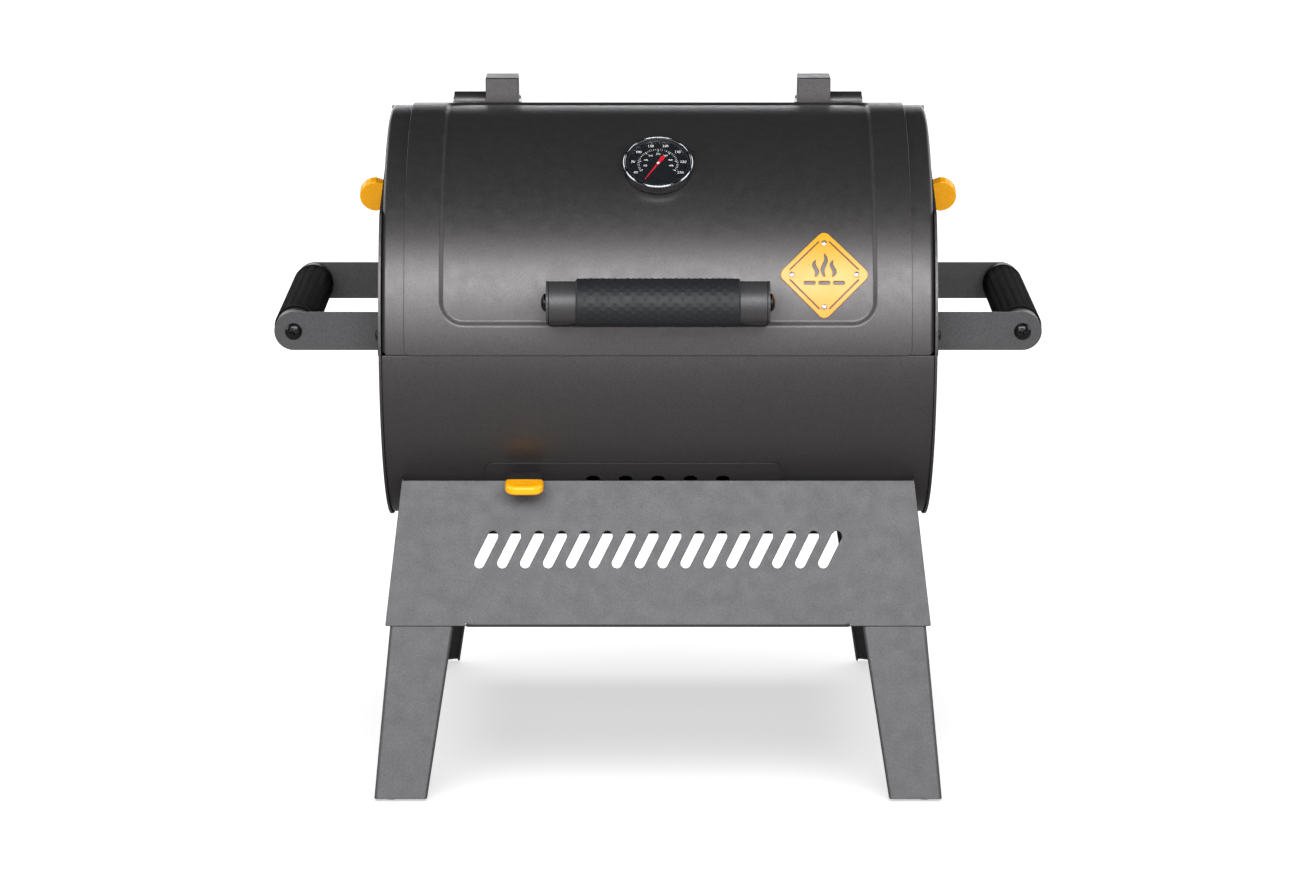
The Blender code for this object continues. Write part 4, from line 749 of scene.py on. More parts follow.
@dataclass
class Studio:
    """Camera, pale floor and soft light.

    Attributes:
        camera_place: Where the camera stands, in metres.
        camera_tilt: How far it looks down, in degrees.
        lens_mm: Its focal length on a 36 mm frame.
        look_at: Point in metres that the softboxes look at.
        floor_half: Half the floor's side, in metres.
        floor_glow: Light that the floor adds to itself for the eye, so that it is white.
        floor_light: Strength of the overhead light that only the floor takes.
        floor_light_angle: How wide that light is, in degrees, which softens the grill's shadow.
        floor_light_tilt: How far it leans to the front, in degrees.
        horizon: Colour of the room's light at the horizon.
        zenith: Colour of the room's light overhead.
        zenith_rise: Height in the room, of 1, from which its light is the zenith's.
        room_light: Strength of the room's light.
        boxes: The softboxes.
    """

    camera_place: tuple[float, float, float] = (-0.0009, -3.7354, 1.1122)
    camera_tilt: float = 12.686
    lens_mm: float = 117.8
    look_at: tuple[float, float, float] = (0.0, 0.0, 0.33)
    floor_half: float = 14.0
    floor_glow: float = 0.645
    floor_light: float = 2.0
    floor_light_angle: float = 70.0
    floor_light_tilt: float = 14.0
    horizon: tuple[float, ...] = (0.31, 0.30, 0.295, 1.0)
    zenith: tuple[float, ...] = (0.012, 0.011, 0.010, 1.0)
    zenith_rise: float = 0.75
    room_light: float = 0.25
    boxes: tuple[Softbox, ...] = (
        Softbox("key_low_front", 0.0, 27.2, 3.2, 3.0, 0.95, 126.0),
        Softbox("fill_front", 0.0, 3.0, 4.6, 4.5, 2.0, 92.0),
        Softbox("left_side", -72.0, 20.0, 3.0, 1.6, 1.6, 38.0),
        Softbox("right_side", 72.0, 20.0, 3.0, 1.6, 1.6, 38.0),
        Softbox("left_rear", -122.0, 24.0, 3.2, 1.8, 1.4, 34.0),
        Softbox("right_rear", 122.0, 24.0, 3.2, 1.8, 1.4, 34.0),
        Softbox("rear_low", 180.0, 9.0, 3.6, 3.6, 0.7, 42.0),
    )

    def build(self) -> None:
        """Builds the whole studio."""
        self.set_camera()
        floor = self.lay_floor()
        self.set_world()
        off_floor = bpy.data.collections.new("all_but_the_floor")
        off_floor.objects.link(floor)
        off_floor.collection_objects[0].light_linking.link_state = "EXCLUDE"
        for box in self.boxes:
            box.build(Vector(self.look_at), off_floor)

    def set_camera(self) -> None:
        """Stands the camera."""
        lens = bpy.data.cameras.new("camera")
        lens.sensor_width = 36.0
        lens.lens = self.lens_mm
        holder = put("camera", lens)
        holder.location = self.camera_place
        holder.rotation_euler = (math.radians(90.0 - self.camera_tilt), 0.0, 0.0)
        bpy.context.scene.camera = holder

    def lay_floor(self) -> bpy.types.Object:
        """Lays the floor: white to the eye with a soft shadow, and dimmer as the light that it throws back.

        Returns:
            The floor.
        """
        half = self.floor_half
        mesh = bpy.data.meshes.new("floor")
        mesh.from_pydata([(x * half, y * half, 0.0) for x, y in box_corners(-1, 1, -1, 1)], [], [(0, 1, 2, 3)])
        made = bpy.data.materials.new("white_paper_backdrop")
        made.use_nodes = True
        tree = made.node_tree
        tree.nodes.clear()
        white = linear("#ffffff")
        paper = add_node(tree, "BsdfDiffuse", {"Color": white}).outputs["BSDF"]
        glow = add_node(tree, "Emission", {"Color": white, "Strength": self.floor_glow}).outputs["Emission"]
        seen = add_node(tree, "AddShader", links={0: paper, 1: glow}).outputs["Shader"]
        thrown = add_node(tree, "BsdfDiffuse", {"Color": linear("#e8e6e4")}).outputs["BSDF"]
        add_node(tree, "OutputMaterial", links={"Surface": by_ray(tree, thrown, seen)})
        mesh.materials.append(made)
        floor = put("floor", mesh)
        self.light_floor(floor)
        return floor

    def light_floor(self, floor: bpy.types.Object) -> None:
        """Adds the wide overhead light that falls on the floor alone and leaves the grill's soft shadow on it."""
        group = bpy.data.collections.new("floor_light_receivers")
        group.objects.link(floor)
        lamp = bpy.data.lights.new("overhead_on_floor", "SUN")
        lamp.energy, lamp.angle = self.floor_light, math.radians(self.floor_light_angle)
        holder = put("overhead_on_floor", lamp)
        holder.rotation_euler = (math.radians(self.floor_light_tilt), 0.0, 0.0)
        holder.light_linking.receiver_collection = group

    def set_world(self) -> None:
        """Sets the room: white to the eye; its light is pale at the horizon and dark over the drum's crown."""
        world = bpy.data.worlds.new("studio_room")
        bpy.context.scene.world = world
        world.use_nodes = True
        tree = world.node_tree
        tree.nodes.clear()
        way = add_node(tree, "TexCoord").outputs["Generated"]
        rise = add_node(tree, "SeparateXYZ", links={0: way}).outputs["Z"]
        ramp = add_node(tree, "ValToRGB", links={0: rise})
        for stop, place, colour in zip(ramp.color_ramp.elements, (0.0, self.zenith_rise), (self.horizon, self.zenith)):
            stop.position, stop.color = place, colour
        glow = add_node(tree, "Background", {"Strength": self.room_light}, {"Color": ramp.outputs["Color"]})
        wall = add_node(tree, "Background", {"Color": linear("#ffffff"), "Strength": 1.0})
        both = by_ray(tree, glow.outputs["Background"], wall.outputs["Background"])
        add_node(tree, "OutputWorld", links={"Surface": both})
        bpy.context.scene.view_settings.view_transform = "Standard"
        bpy.context.scene.view_settings.look = "None"


# ---- the lid -----------------------------------------------------------------------------------
def span(start: float, stop: float, spacing: float) -> list[float]:
    """Evenly spaced values from start to stop, about one spacing apart."""
    count = max(1, round((stop - start) / spacing))
    return [start + (stop - start) * part / count for part in range(count + 1)]


def from_rounded_box(u: float, v: float, box: tuple[float, float, float, float], radius: float) -> float:
    """Distance of a point from a box with round corners, negative inside."""
    left, right, low, high = box
    off_u = abs(u - (left + right) / 2) - (right - left) / 2 + radius
    off_v = abs(v - (low + high) / 2) - (high - low) / 2 + radius
    return math.hypot(max(off_u, 0.0), max(off_v, 0.0)) + min(max(off_u, off_v), 0.0) - radius


@dataclass
class LidSheet:
    """Rolled lid sheet with its sunk centre panel."""

    radius: float = 182.0
    sheet: float = 1.2
    half_length: float = 215.0
    front: float = -1.9
    rear: float = 106.5
    corner: float = 5.0
    panel_half: float = 186.0
    panel_front: float = 5.7
    panel_rear: float = 97.0
    panel_depth: float = 2.2
    panel_corner: float = 22.0
    side_step: float = 5.0
    front_step: float = 6.5
    rear_step: float = 5.0
    stem_angle: float = 52.3
    stem_hole: float = 4.6

    def skin_at(self, angle: float) -> float:
        """Length of skin from the front to an angle."""
        return skin_length(self.radius, angle)

    def boxes(self) -> tuple[tuple[float, float, float, float], tuple[float, float, float, float]]:
        """Rim and floor of the sunk panel as (left, right, low, high)."""
        low, high = self.skin_at(self.panel_front), self.skin_at(self.panel_rear)
        rim = (-self.panel_half, self.panel_half, low, high)
        floor = (-self.panel_half + self.side_step, self.panel_half - self.side_step, low + self.front_step,
                 high - self.rear_step)
        return rim, floor

    def sink(self, u: float, v: float) -> float:
        """Depth of the sheet's face below the lid's radius at a point of the flat sheet."""
        rim, floor = self.boxes()
        past_rim = -from_rounded_box(u, v, rim, self.panel_corner)
        to_floor = from_rounded_box(u, v, floor, self.panel_corner - self.side_step)
        if past_rim <= 0.0:
            return 0.0
        if to_floor <= 0.0:
            return self.panel_depth
        part = past_rim / (past_rim + to_floor)
        return self.panel_depth * part * part * (3 - 2 * part)

    def place(self, u: float, v: float, depth: float) -> Vector:
        """Rolls a point of the flat sheet onto the drum."""
        return on_drum(u, self.radius - self.sink(u, v) - depth, math.degrees(v / self.radius))

    def build(self, shop: Workshop) -> None:
        """Builds the sheet."""
        low, high = self.skin_at(self.front), self.skin_at(self.rear)
        outline = densify(fillet(box_corners(-self.half_length, self.half_length, low, high), self.corner), 7.0)
        rim, floor = self.boxes()
        inner_corners = fillet(box_corners(*floor), self.panel_corner - self.side_step, 14)
        outer_corners = fillet(box_corners(*rim), self.panel_corner, 14)
        contours = [densify([(a[0] + (b[0] - a[0]) * part, a[1] + (b[1] - a[1]) * part)
                             for a, b in zip(outer_corners, inner_corners)], 5.0)
                    for part in (0.0, 0.12, 0.28, 0.5, 0.72, 0.88, 1.0)]
        hole = circle((0.0, self.skin_at(self.stem_angle)), self.stem_hole, 24)
        sheet = Sheet(outline, self.place, self.sheet, [hole], contours,
                      span(-self.half_length + 6, self.half_length - 6, 9.0), span(low + 6, high - 6, 5.5),
                      crowded=lambda u, v: from_rounded_box(u, v, rim, self.panel_corner) < 1.0
                      and from_rounded_box(u, v, floor, self.panel_corner) > -1.0)
        shop.add("lid_sheet", sheet.skin(), "lid", Slot.LID, BARREL_COAT, ["lid_shell"])


@dataclass
class LidEnd:
    """Pressed end cap of the lid: flange, rounded corner and plate in one sheet."""

    side: Side
    radius: float = 180.0
    sheet: float = 1.2
    outer_x: float = 234.0
    flange: float = 29.0
    corner: float = 4.0
    front: float = -1.9
    rear: float = 104.9

    def __post_init__(self) -> None:
        """Works out where along the sheet its bend starts and ends."""
        self.straight = self.flange - self.corner
        self.bent = self.straight + self.corner * math.pi / 2

    def place(self, u: float, v: float, depth: float) -> Vector:
        """Bends a point of the flat sheet: u from the flange's free edge, v round the drum."""
        turn = min(max((u - self.straight) / self.corner, 0.0), math.pi / 2)
        reach = self.corner - depth
        x = self.outer_x - self.corner + min(u - self.straight, 0.0) + reach * math.sin(turn)
        radius = self.radius - self.corner + reach * math.cos(turn) - max(u - self.bent, 0.0)
        return on_drum(self.side.value * x, radius, math.degrees(v / self.radius))

    def reach(self, angle: float) -> float:
        """Length of sheet from the flange's free edge to the chord at an angle."""
        chord = self.radius * math.cos(math.radians((self.rear - self.front) / 2))
        fall = chord / math.cos(math.radians(angle - (self.front + self.rear) / 2)) - self.radius + self.corner
        if fall >= 0.0:
            return self.straight + self.corner * math.acos(min(fall / self.corner, 1.0))
        return self.bent - fall

    def build(self, shop: Workshop) -> None:
        """Builds the cap."""
        low, high = skin_length(self.radius, self.front), skin_length(self.radius, self.rear)
        far = [(self.reach(angle), skin_length(self.radius, angle)) for angle in span(self.front, self.rear, 1.6)]
        outline = densify([*far, (0.0, high), (0.0, low)], 7.0)
        columns = [*span(5.0, self.straight, 6.6), *span(self.straight, self.bent, 0.9)[1:],
                   *span(self.bent, self.bent + 66.0, 7.0)[1:]]
        sheet = Sheet(outline, self.place, self.sheet, (), (), columns, span(low + 5, high - 5, 5.5), 0.45)
        word = self.side.word
        shop.add(f"lid_end_cap_{word}", sheet.skin(), "lid", Slot.LID, BARREL_COAT, [f"lid_end_{word}"])


@dataclass
class LidHandle:
    """Lid handle: the tube, its dimpled rubber sleeve and the screws; the brackets are kept."""

    angle: float = 12.1
    reach: float = 230.2
    tube_radius: float = 17.75
    tube_half: float = 91.1
    grip_radius: float = 20.0
    grip_half: float = 68.5
    dimple_pitch: float = 6.2
    dimple_radius: float = 1.5
    dimple_height: float = 0.6
    screw_x: float = 93.5
    fit_gap: float = 0.3

    def build(self, shop: Workshop) -> None:
        """Builds the handle."""
        axis = on_drum(0.0, self.reach, self.angle)
        turn = facing(axis, (0, 1, 0), (0, 0, 1))
        tube = turned(tube_profile(self.tube_radius, self.tube_half, 3.4), 72).moved(turn)
        shop.add("lid_handle_tube", tube, "lid", Slot.LID, STAND_COAT, ["handle_tube"])
        bore = self.tube_radius + self.fit_gap
        face = densify(ring_profile(self.grip_radius, bore, self.grip_half, 1.8, 0.2, 5), 0.8)
        grip = turned(face, 160, self.dimple).moved(turn)
        shop.add("lid_handle_sleeve", grip, "lid", Slot.RUBBER, SLEEVE_RUBBER, ["handle_grip"])
        for side in Side:
            seat = axis + Vector((side.value * self.screw_x, 0.0, 0.0))
            way = Vector((side.value, 0.0, 0.0))
            shop.add(f"lid_handle_screw_{side.word}", cross_screw(7.5, 4.4, 12.0).moved(standing(seat, way)), "lid",
                     Slot.BLACK, BLACK_STEEL, [f"handle_screw_{side.word}"])
            shop.keep(f"handle_bracket_{side.word}", STAND_COAT, 0.0)

    def dimple(self, radius: float, height: float, turn: float) -> float:
        """Height of the raised dots in their staggered rows."""
        if radius < self.grip_radius - 0.01 or abs(height) > self.grip_half - 5.0:
            return 0.0
        round_count = round(2 * math.pi * self.grip_radius / self.dimple_pitch)
        row_height = self.dimple_pitch * 0.82
        row = round(height / row_height)
        across = turn / (2 * math.pi) * round_count + (0.5 if row % 2 else 0.0)
        off_turn = (across - round(across)) * 2 * math.pi * self.grip_radius / round_count
        off = math.hypot(off_turn, height - row * row_height) / self.dimple_radius
        return self.dimple_height * (1.0 - off * off) ** 2 if off < 1.0 else 0.0


def ring_profile(radius: float, bore: float, half: float, ease: float, bore_ease: float, steps: int = 4) -> Loop:
    """Closed profile of a plain ring or sleeve, its edges eased outside and in the bore."""
    return fillet([(radius, -half), (radius, half), (bore, half), (bore, -half)],
                  [ease, ease, bore_ease, bore_ease], steps)


def tube_profile(radius: float, half_length: float, bore: float) -> Loop:
    """Closed profile of a tube with a plug in each end, its outer edges eased."""
    wall, plug = 1.5, 3.0
    inner = radius - wall
    corners = [(radius, -half_length), (radius, half_length), (bore, half_length), (bore, half_length - plug),
               (inner, half_length - plug), (inner, -half_length + plug), (bore, -half_length + plug),
               (bore, -half_length)]
    return fillet(corners, [0.7, 0.7, 0.2, 0.2, 0.3, 0.3, 0.2, 0.2], 4)


def cross_screw(radius: float, height: float, length: float) -> Skin:
    """Dome-headed screw with a cross recess, its head's seat at height 0 and its shank below.

    Args:
        radius: Radius of the head.
        height: Height of the head.
        length: Length of the shank.

    Returns:
        The screw.
    """
    bowl = height * 0.62
    arm, half = radius * 0.46, radius * 0.10
    shank_radius, low = 2.9, 0.02

    def dome(u: float, v: float, depth: float) -> Vector:
        """Dome of the head over a flat point."""
        crown = height - bowl * min((u * u + v * v) / (radius * radius), 1.0) ** 1.15
        return Vector((u, v, crown - depth * crown / (height * 1.02)))

    corners = []
    for cos, sin in ((1, 0), (0, 1), (-1, 0), (0, -1)):
        corners += [(x * cos - y * sin, x * sin + y * cos)
                    for x, y in ((half, -half), (arm, -half * 0.75), (arm, half * 0.75))]
    rings = [circle((0.0, 0.0), radius * part, 36) for part in (0.62, 0.78, 0.9)]
    made = Sheet(circle((0.0, 0.0), radius, 48), dome, height, [fillet(corners, half * 0.5, 2)], rings, rim=0.35).skin()
    made.join(turned([(0.0, -length), (shank_radius - 0.5, -length), (shank_radius, -length + 0.6),
                      (shank_radius, 0.0), (0.0, 0.0)], 20))
    made.join(turned([(0.0, low), (radius * 0.6, low), (radius * 0.6, height * 0.32), (0.0, height * 0.32)], 24))
    made.normals = []
    return made


@dataclass
class Thermometer:
    """Dial thermometer: case with chrome bezel, printed dial, needle, pane and nut."""

    angle: float = 52.3
    seat: float = 180.2
    bezel_radius: float = 30.0
    wall_radius: float = 27.2
    dial_top: float = 6.1
    stem_end: float = -66.0
    needle_height: float = 6.8
    needle_turn: float = -149.0
    tick_radius: float = 16.0
    numbers_out: float = 21.6
    numbers_in: float = 11.4
    sweep: float = 118.0
    ticks: int = 36

    def dial(self) -> Matrix:
        """Matrix of the dial: X to the grill's right, Y up the lid, Z out of the dial."""
        return facing(on_drum(0.0, self.seat, self.angle), (1, 0, 0), upward(self.angle))

    def build(self, shop: Workshop) -> None:
        """Builds the thermometer."""
        turn, stem, top = self.dial(), self.stem_end, self.dial_top
        edge, wall = self.bezel_radius, self.wall_radius + 0.1
        bezel = fillet([(0.0, stem), (3.0, stem), (4.0, stem + 1.5), (4.0, 0.0), (edge - 1.2, 0.0), (edge, 1.2),
                        (edge, 8.4), (edge - 1.5, 9.8), (wall + 0.8, 9.5), (wall, 8.0), (wall, 5.0), (0.0, 5.0)],
                       [0.0, 0.4, 0.6, 0.3, 0.6, 0.6, 1.2, 1.0, 0.5, 0.4, 0.2, 0.0], 5)
        # Black ring in the rubber finish, filling the gap between the bezel's wall and the inner ring: a dark piece
        # that paints the shade of that gap.
        gap_shade_ring = fillet([(25.2, 6.2), (27.1, 6.2), (27.1, 8.0), (25.9, 8.3), (25.2, 7.9)], 0.3, 3)
        ring = fillet([(24.5, 6.15), (25.1, 6.15), (25.1, 7.3), (24.7, 7.5)], 0.15, 3)
        plate = fillet([(0.0, 5.3), (26.9, 5.3), (26.9, top), (0.0, top)], [0.0, 0.1, 0.1, 0.0], 2)
        pane = fillet([(0.0, 8.4), (26.4, 8.4), (26.4, 9.0), (0.0, 9.2)], [0.0, 0.15, 0.15, 0.0], 3)
        for name, skin, slot_name, finish, replaces in (
                ("bezel", turned(bezel, 120), Slot.CHROME, CHROME, ["thermometer_case"]),
                ("gap_shade_ring", turned(gap_shade_ring, 96), Slot.DIAL, SLEEVE_RUBBER, []),
                ("inner_ring", turned(ring, 96), Slot.CHROME, CHROME, []),
                ("scale_plate", turned(plate, 96), Slot.DIAL, DIAL_BLACK, ["thermometer_dial"]),
                ("scale_print", self.scale(), Slot.DIAL, DIAL_WHITE, []),
                ("pane", turned(pane, 96), Slot.GLASS, PANE, ["thermometer_glass"])):
            shop.add(f"thermometer_{name}", skin.moved(turn), "lid", slot_name, finish, replaces)
        self.build_needle(shop, turn)
        shop.keep("thermometer_nut", ZINC, 0.4)

    def build_needle(self, shop: Workshop, turn: Matrix) -> None:
        """Builds the needle with its hub."""
        half = [(0.25, 21.5), (0.75, 2.0), (1.4, -3.0), (2.0, -9.6)]
        eases = [0.2, 1.0, 1.0, 0.8]
        pointer = fillet([(-x, y) for x, y in half] + half[::-1], eases + eases[::-1], 4)
        low = self.needle_height + 0.35
        local = turn @ Matrix.Translation((0.0, 0.0, low - 0.05)) @ Matrix.Rotation(
            math.radians(-self.needle_turn), 4, "Z")
        blade = Sheet(pointer, flat(local), 0.5, rim=0.15).skin()
        shop.add("thermometer_pointer", blade, "needle", Slot.NEEDLE, NEEDLE_RED, ["thermometer_needle"])
        hub = fillet([(0.0, low), (1.3, low), (1.1, low + 0.75), (0.0, low + 0.95)], [0.0, 0.15, 0.3, 0.0], 3)
        shop.add("thermometer_hub", turned(hub, 32).moved(turn), "needle", Slot.NEEDLE, DIAL_WHITE)

    def scale(self) -> Skin:
        """Ticks and numbers, printed just over the dial's face."""
        made = Skin()
        lift = Matrix.Translation((0.0, 0.0, self.dial_top + 0.07))
        for index in range(self.ticks + 1):
            turn = math.radians(self.sweep * (1 - 2 * index / self.ticks))
            width, inner = (0.28, 1.5) if index % 6 == 0 else (0.17, 0.3)
            bar = box_corners(-width, width, self.tick_radius - inner, self.tick_radius + 1.5)
            made.join(Sheet(bar, flat(Matrix.Rotation(turn, 4, "Z") @ lift), 0.1, rim=0.02, rim_steps=1).skin())
        for words, radius, size, first in (("40 70 100 130 160 190 220 250", self.numbers_out, 3.6, 0.0),
                                           ("100 160 210 270 330 400 450", self.numbers_in, 2.5, 0.5)):
            for index, word in enumerate(words.split()):
                turn = math.radians(self.sweep * (2 * (index + first) / 7 - 1))
                spot = Vector((radius * math.sin(turn), radius * math.cos(turn), 0.0))
                made.join(self.word(word, size).moved(Matrix.Translation(spot) @ lift))
        made.normals = []
        return made

    def word(self, text: str, size: float) -> Skin:
        """A number about the origin, with a little body."""
        curve = bpy.data.curves.new("number", "FONT")
        curve.body, curve.size = text, size
        curve.extrude, curve.offset = 0.04, 0.05
        curve.align_x = curve.align_y = "CENTER"
        curve.resolution_u = 3
        holder = put("number", curve)
        mesh = bpy.data.meshes.new_from_object(holder.evaluated_get(bpy.context.evaluated_depsgraph_get()))
        bpy.data.objects.remove(holder, do_unlink=True)
        return Skin([vert.co.copy() for vert in mesh.vertices], [tuple(face.vertices) for face in mesh.polygons])


@dataclass
class Badge:
    """Square plate turned on its corner, cut with a plain heat-wave motif and riveted to the lid."""

    x: float = 140.5
    angle: float = 19.9
    side: float = 55.6
    corner: float = 6.0
    thickness: float = 1.5
    seat: float = 180.1
    line_inset: float = 4.2
    line_half: float = 17.2
    line_radius: float = 0.55
    rivet_radius: float = 2.5
    rivet_reach: float = 27.4
    waves: tuple[tuple[float, float, float], ...] = ((-7.4, 14.0, 1.3), (0.0, 20.0, -1.5), (7.4, 14.0, 1.3))

    def place(self, u: float, v: float, depth: float) -> Vector:
        """Curves a point of the flat plate to the lid; u and v are measured from its middle."""
        radius = self.seat + self.thickness
        return on_drum(self.x + u, radius - depth, self.angle + math.degrees(v / radius))

    def wave(self, u: float, height: float, sway: float) -> Loop:
        """One heat wave: a tapering flame-like ribbon that rises in an S."""
        spine = [(u + sway * math.sin(part * 2 * math.pi), height * part - 1.5,
                  0.3 + 1.6 * math.sin(math.pi * min(part * 0.92 + 0.08, 1.0)) ** 0.8)
                 for part in span(0.0, 1.0, 1 / 14)]
        return [(x + half, y) for x, y, half in spine] + [(x - half, y) for x, y, half in reversed(spine)]

    def build(self, shop: Workshop) -> None:
        """Builds the plate, its border lines and rivets."""
        reach = self.side / math.sqrt(2)
        outline = densify(fillet([(0.0, -reach), (reach, 0.0), (0.0, reach), (-reach, 0.0)], self.corner, 8), 3.0)
        sides = circle((0.0, 0.0), self.side / 2 - self.line_inset, 8)[1::2]
        cuts = [slot(centre, self.line_half, self.line_radius, 135.0 + 90.0 * index, 4)
                for index, centre in enumerate(sides)]
        cuts += [self.wave(*wave) for wave in self.waves]
        cuts += [slot((offset, -7.0), 3.6, 1.5, 0.0, 5) for offset in (-12.4, 0.0, 12.4)]
        grid = span(-reach + 3, reach - 3, 3.6)
        plate = Sheet(outline, self.place, self.thickness, cuts, (), grid, grid, 0.45)
        shop.add("badge_heat_waves", plate.skin(), "lid", Slot.BADGE, BADGE_COAT, ["badge_plate"])
        head = fillet([(0.0, 0.0), (self.rivet_radius, 0.0), (self.rivet_radius * 0.92, 0.7), (0.9, 1.15), (0.75, 0.75),
                       (0.0, 0.7)], [0.0, 0.2, 0.5, 0.25, 0.15, 0.0], 3)
        for index, (u, v) in enumerate(((0, 1), (1, 0), (0, -1), (-1, 0))):
            u, v = u * self.rivet_reach, v * self.rivet_reach
            way = outward(self.angle + math.degrees(v / (self.seat + self.thickness)))
            shop.add(f"badge_rivet_{index + 1}", turned(head, 32).moved(standing(self.place(u, v, -0.02), way)), "lid",
                     Slot.ZINC, ZINC)


@dataclass
class Hinge:
    """Hinge of one side: the kept bracket and pin, the barrel and its weld beads."""

    side: Side
    angle: float = 112.0
    seat: float = 180.3
    barrel_radius: float = 8.5
    bore: float = 4.4
    inner_x: float = 153.3
    outer_x: float = 182.0
    weld_seat: float = 180.7
    weld_off: float = 2.65
    weld_steps: int = 40

    def build(self, shop: Workshop) -> None:
        """Builds the hinge."""
        word, sign = self.side.word, self.side.value
        half = (self.outer_x - self.inner_x) / 2
        centre = on_drum(sign * (self.inner_x + half), self.seat + self.barrel_radius, self.angle)
        barrel = turned(ring_profile(self.barrel_radius, self.bore, half, 0.6, 0.4), 56)
        shop.add(f"hinge_tube_{word}", barrel.moved(facing(centre, (0, 1, 0), (0, 0, 1))), "body", Slot.BODY,
                 BARREL_COAT, [f"hinge_barrel_{word}"])
        shop.keep(f"hinge_bracket_{word}", BARREL_COAT, 0.6)
        shop.keep(f"hinge_pin_{word}", ZINC, 0.3)
        for label, angle in (("front", self.angle - self.weld_off), ("rear", self.angle + self.weld_off)):
            path = [on_drum(sign * (self.inner_x + 2.5 + (2 * half - 5.0) * index / self.weld_steps), self.weld_seat,
                            angle) for index in range(self.weld_steps + 1)]
            ripple = [1.25 + 0.22 * math.cos(index * math.pi / 2) for index in range(1, self.weld_steps)]
            shop.add(f"hinge_weld_{label}_{word}", loft(path, [0.5, *ripple, 0.5], 0.8, 10, outward(angle)), "body",
                     Slot.BODY, BARREL_COAT)


# ---- the drum ----------------------------------------------------------------------------------
@dataclass
class DrumShell:
    """Lower shell, rolled from one sheet, with its air holes."""

    radius: float = 180.0
    sheet: float = 1.5
    half_length: float = 234.2
    front: float = -2.0
    rear: float = -251.5
    vent_angle: float = -43.6
    vent_radius: float = 6.5
    vent_pitch: float = 28.0
    rivet_angle: float = -49.3
    rivet_hole: float = 2.9
    rivets: tuple[float, float] = (-100.0, 62.0)

    def place(self, u: float, v: float, depth: float) -> Vector:
        """Rolls a point of the flat sheet onto the drum."""
        return on_drum(u, self.radius - depth, math.degrees(v / self.radius))

    def build(self, shop: Workshop) -> None:
        """Builds the shell."""
        low, high, vents, rivets = (skin_length(self.radius, angle)
                                    for angle in (self.rear, self.front, self.vent_angle, self.rivet_angle))
        outline = densify(fillet(box_corners(-self.half_length, self.half_length, low, high), 1.0, 3), 8.0)
        holes = [circle((index * self.vent_pitch, vents), self.vent_radius, 28) for index in range(-2, 3)]
        holes += [circle((x, rivets), self.rivet_hole, 16) for x in self.rivets]
        columns = span(-self.half_length + 7.2, self.half_length - 7.2, 9.6)
        sheet = Sheet(outline, self.place, self.sheet, holes, (), columns, span(low + 6, high - 6, 6.6), 0.6)
        shop.add("drum_lower_shell", sheet.skin(), "body", Slot.BODY, BARREL_COAT, ["drum_shell"])


@dataclass
class AirSlider:
    """Sliding air gate under the drum with its bent tab, moulded cap and rivets."""

    cap_drop: float = 1.0
    cap_lean: float = 10.0
    cap_length: float = 20.0
    cap_height: float = 9.0
    nose: float = 10.0

    def build(self, shop: Workshop) -> None:
        """Dresses the gate and its rivets, and builds its cap."""
        shop.keep("air_slider", BARREL_COAT, 0.6)
        low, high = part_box("slider_grip")
        lean = math.radians(self.cap_lean)
        matrix = facing(middle("slider_grip") - Vector((0.0, 0.0, self.cap_drop)), (1, 0, 0),
                        (0.0, -math.cos(lean), -math.sin(lean)))
        cap = moulded_cap((high.x - low.x) / MM, self.cap_length, self.cap_height, matrix, self.nose)
        shop.add("air_slider_cap", cap, "air_slider", Slot.YELLOW, YELLOW_MOULDING, ["slider_grip"])
        for side in Side:
            shop.keep(f"slider_rivet_{side.word}", ZINC, 0.3)


def moulded_cap(width: float, length: float, height: float, matrix: Matrix, nose: float) -> Skin:
    """Pillow-shaped moulded cap: square at its root, round at its nose.

    Args:
        width: Size along the matrix's X.
        length: Size along its Y, towards the nose.
        height: Size along its Z.
        matrix: Place of the cap's middle.
        nose: Radius of the nose's corners.

    Returns:
        The cap.
    """
    corners = box_corners(-width / 2, width / 2, -length / 2, length / 2)
    outline = densify(fillet(corners, [2.5, 2.5, nose, nose], 12), 1.6)

    def pillow(u: float, v: float, depth: float) -> Vector:
        """Thins the cap a little towards its edges."""
        off = max(abs(u) / (width / 2), abs(v) / (length / 2))
        crown = 1.0 - 0.16 * off ** 3
        return matrix @ Vector((u, v, (height / 2 - depth) * crown))

    columns, rows = span(-width / 2 + 3, width / 2 - 3, 1.8), span(-length / 2 + 3, length / 2 - 3, 1.8)
    return Sheet(outline, pillow, height, (), (), columns, rows, 3.2, rim_steps=6).skin()


@dataclass
class DrumEnd:
    """End plate of the drum with its turning damper."""

    side: Side

    def build(self, shop: Workshop) -> None:
        """Dresses the plate, the damper, its rivet and its cap."""
        word = self.side.word
        shop.keep(f"body_end_{word}", BARREL_COAT, 0.5)
        shop.keep(f"damper_{word}", BARREL_COAT, 0.35)
        shop.keep(f"damper_rivet_{word}", ZINC, 0.3)
        shop.keep(f"damper_grip_{word}", YELLOW_MOULDING, 2.2, 5)


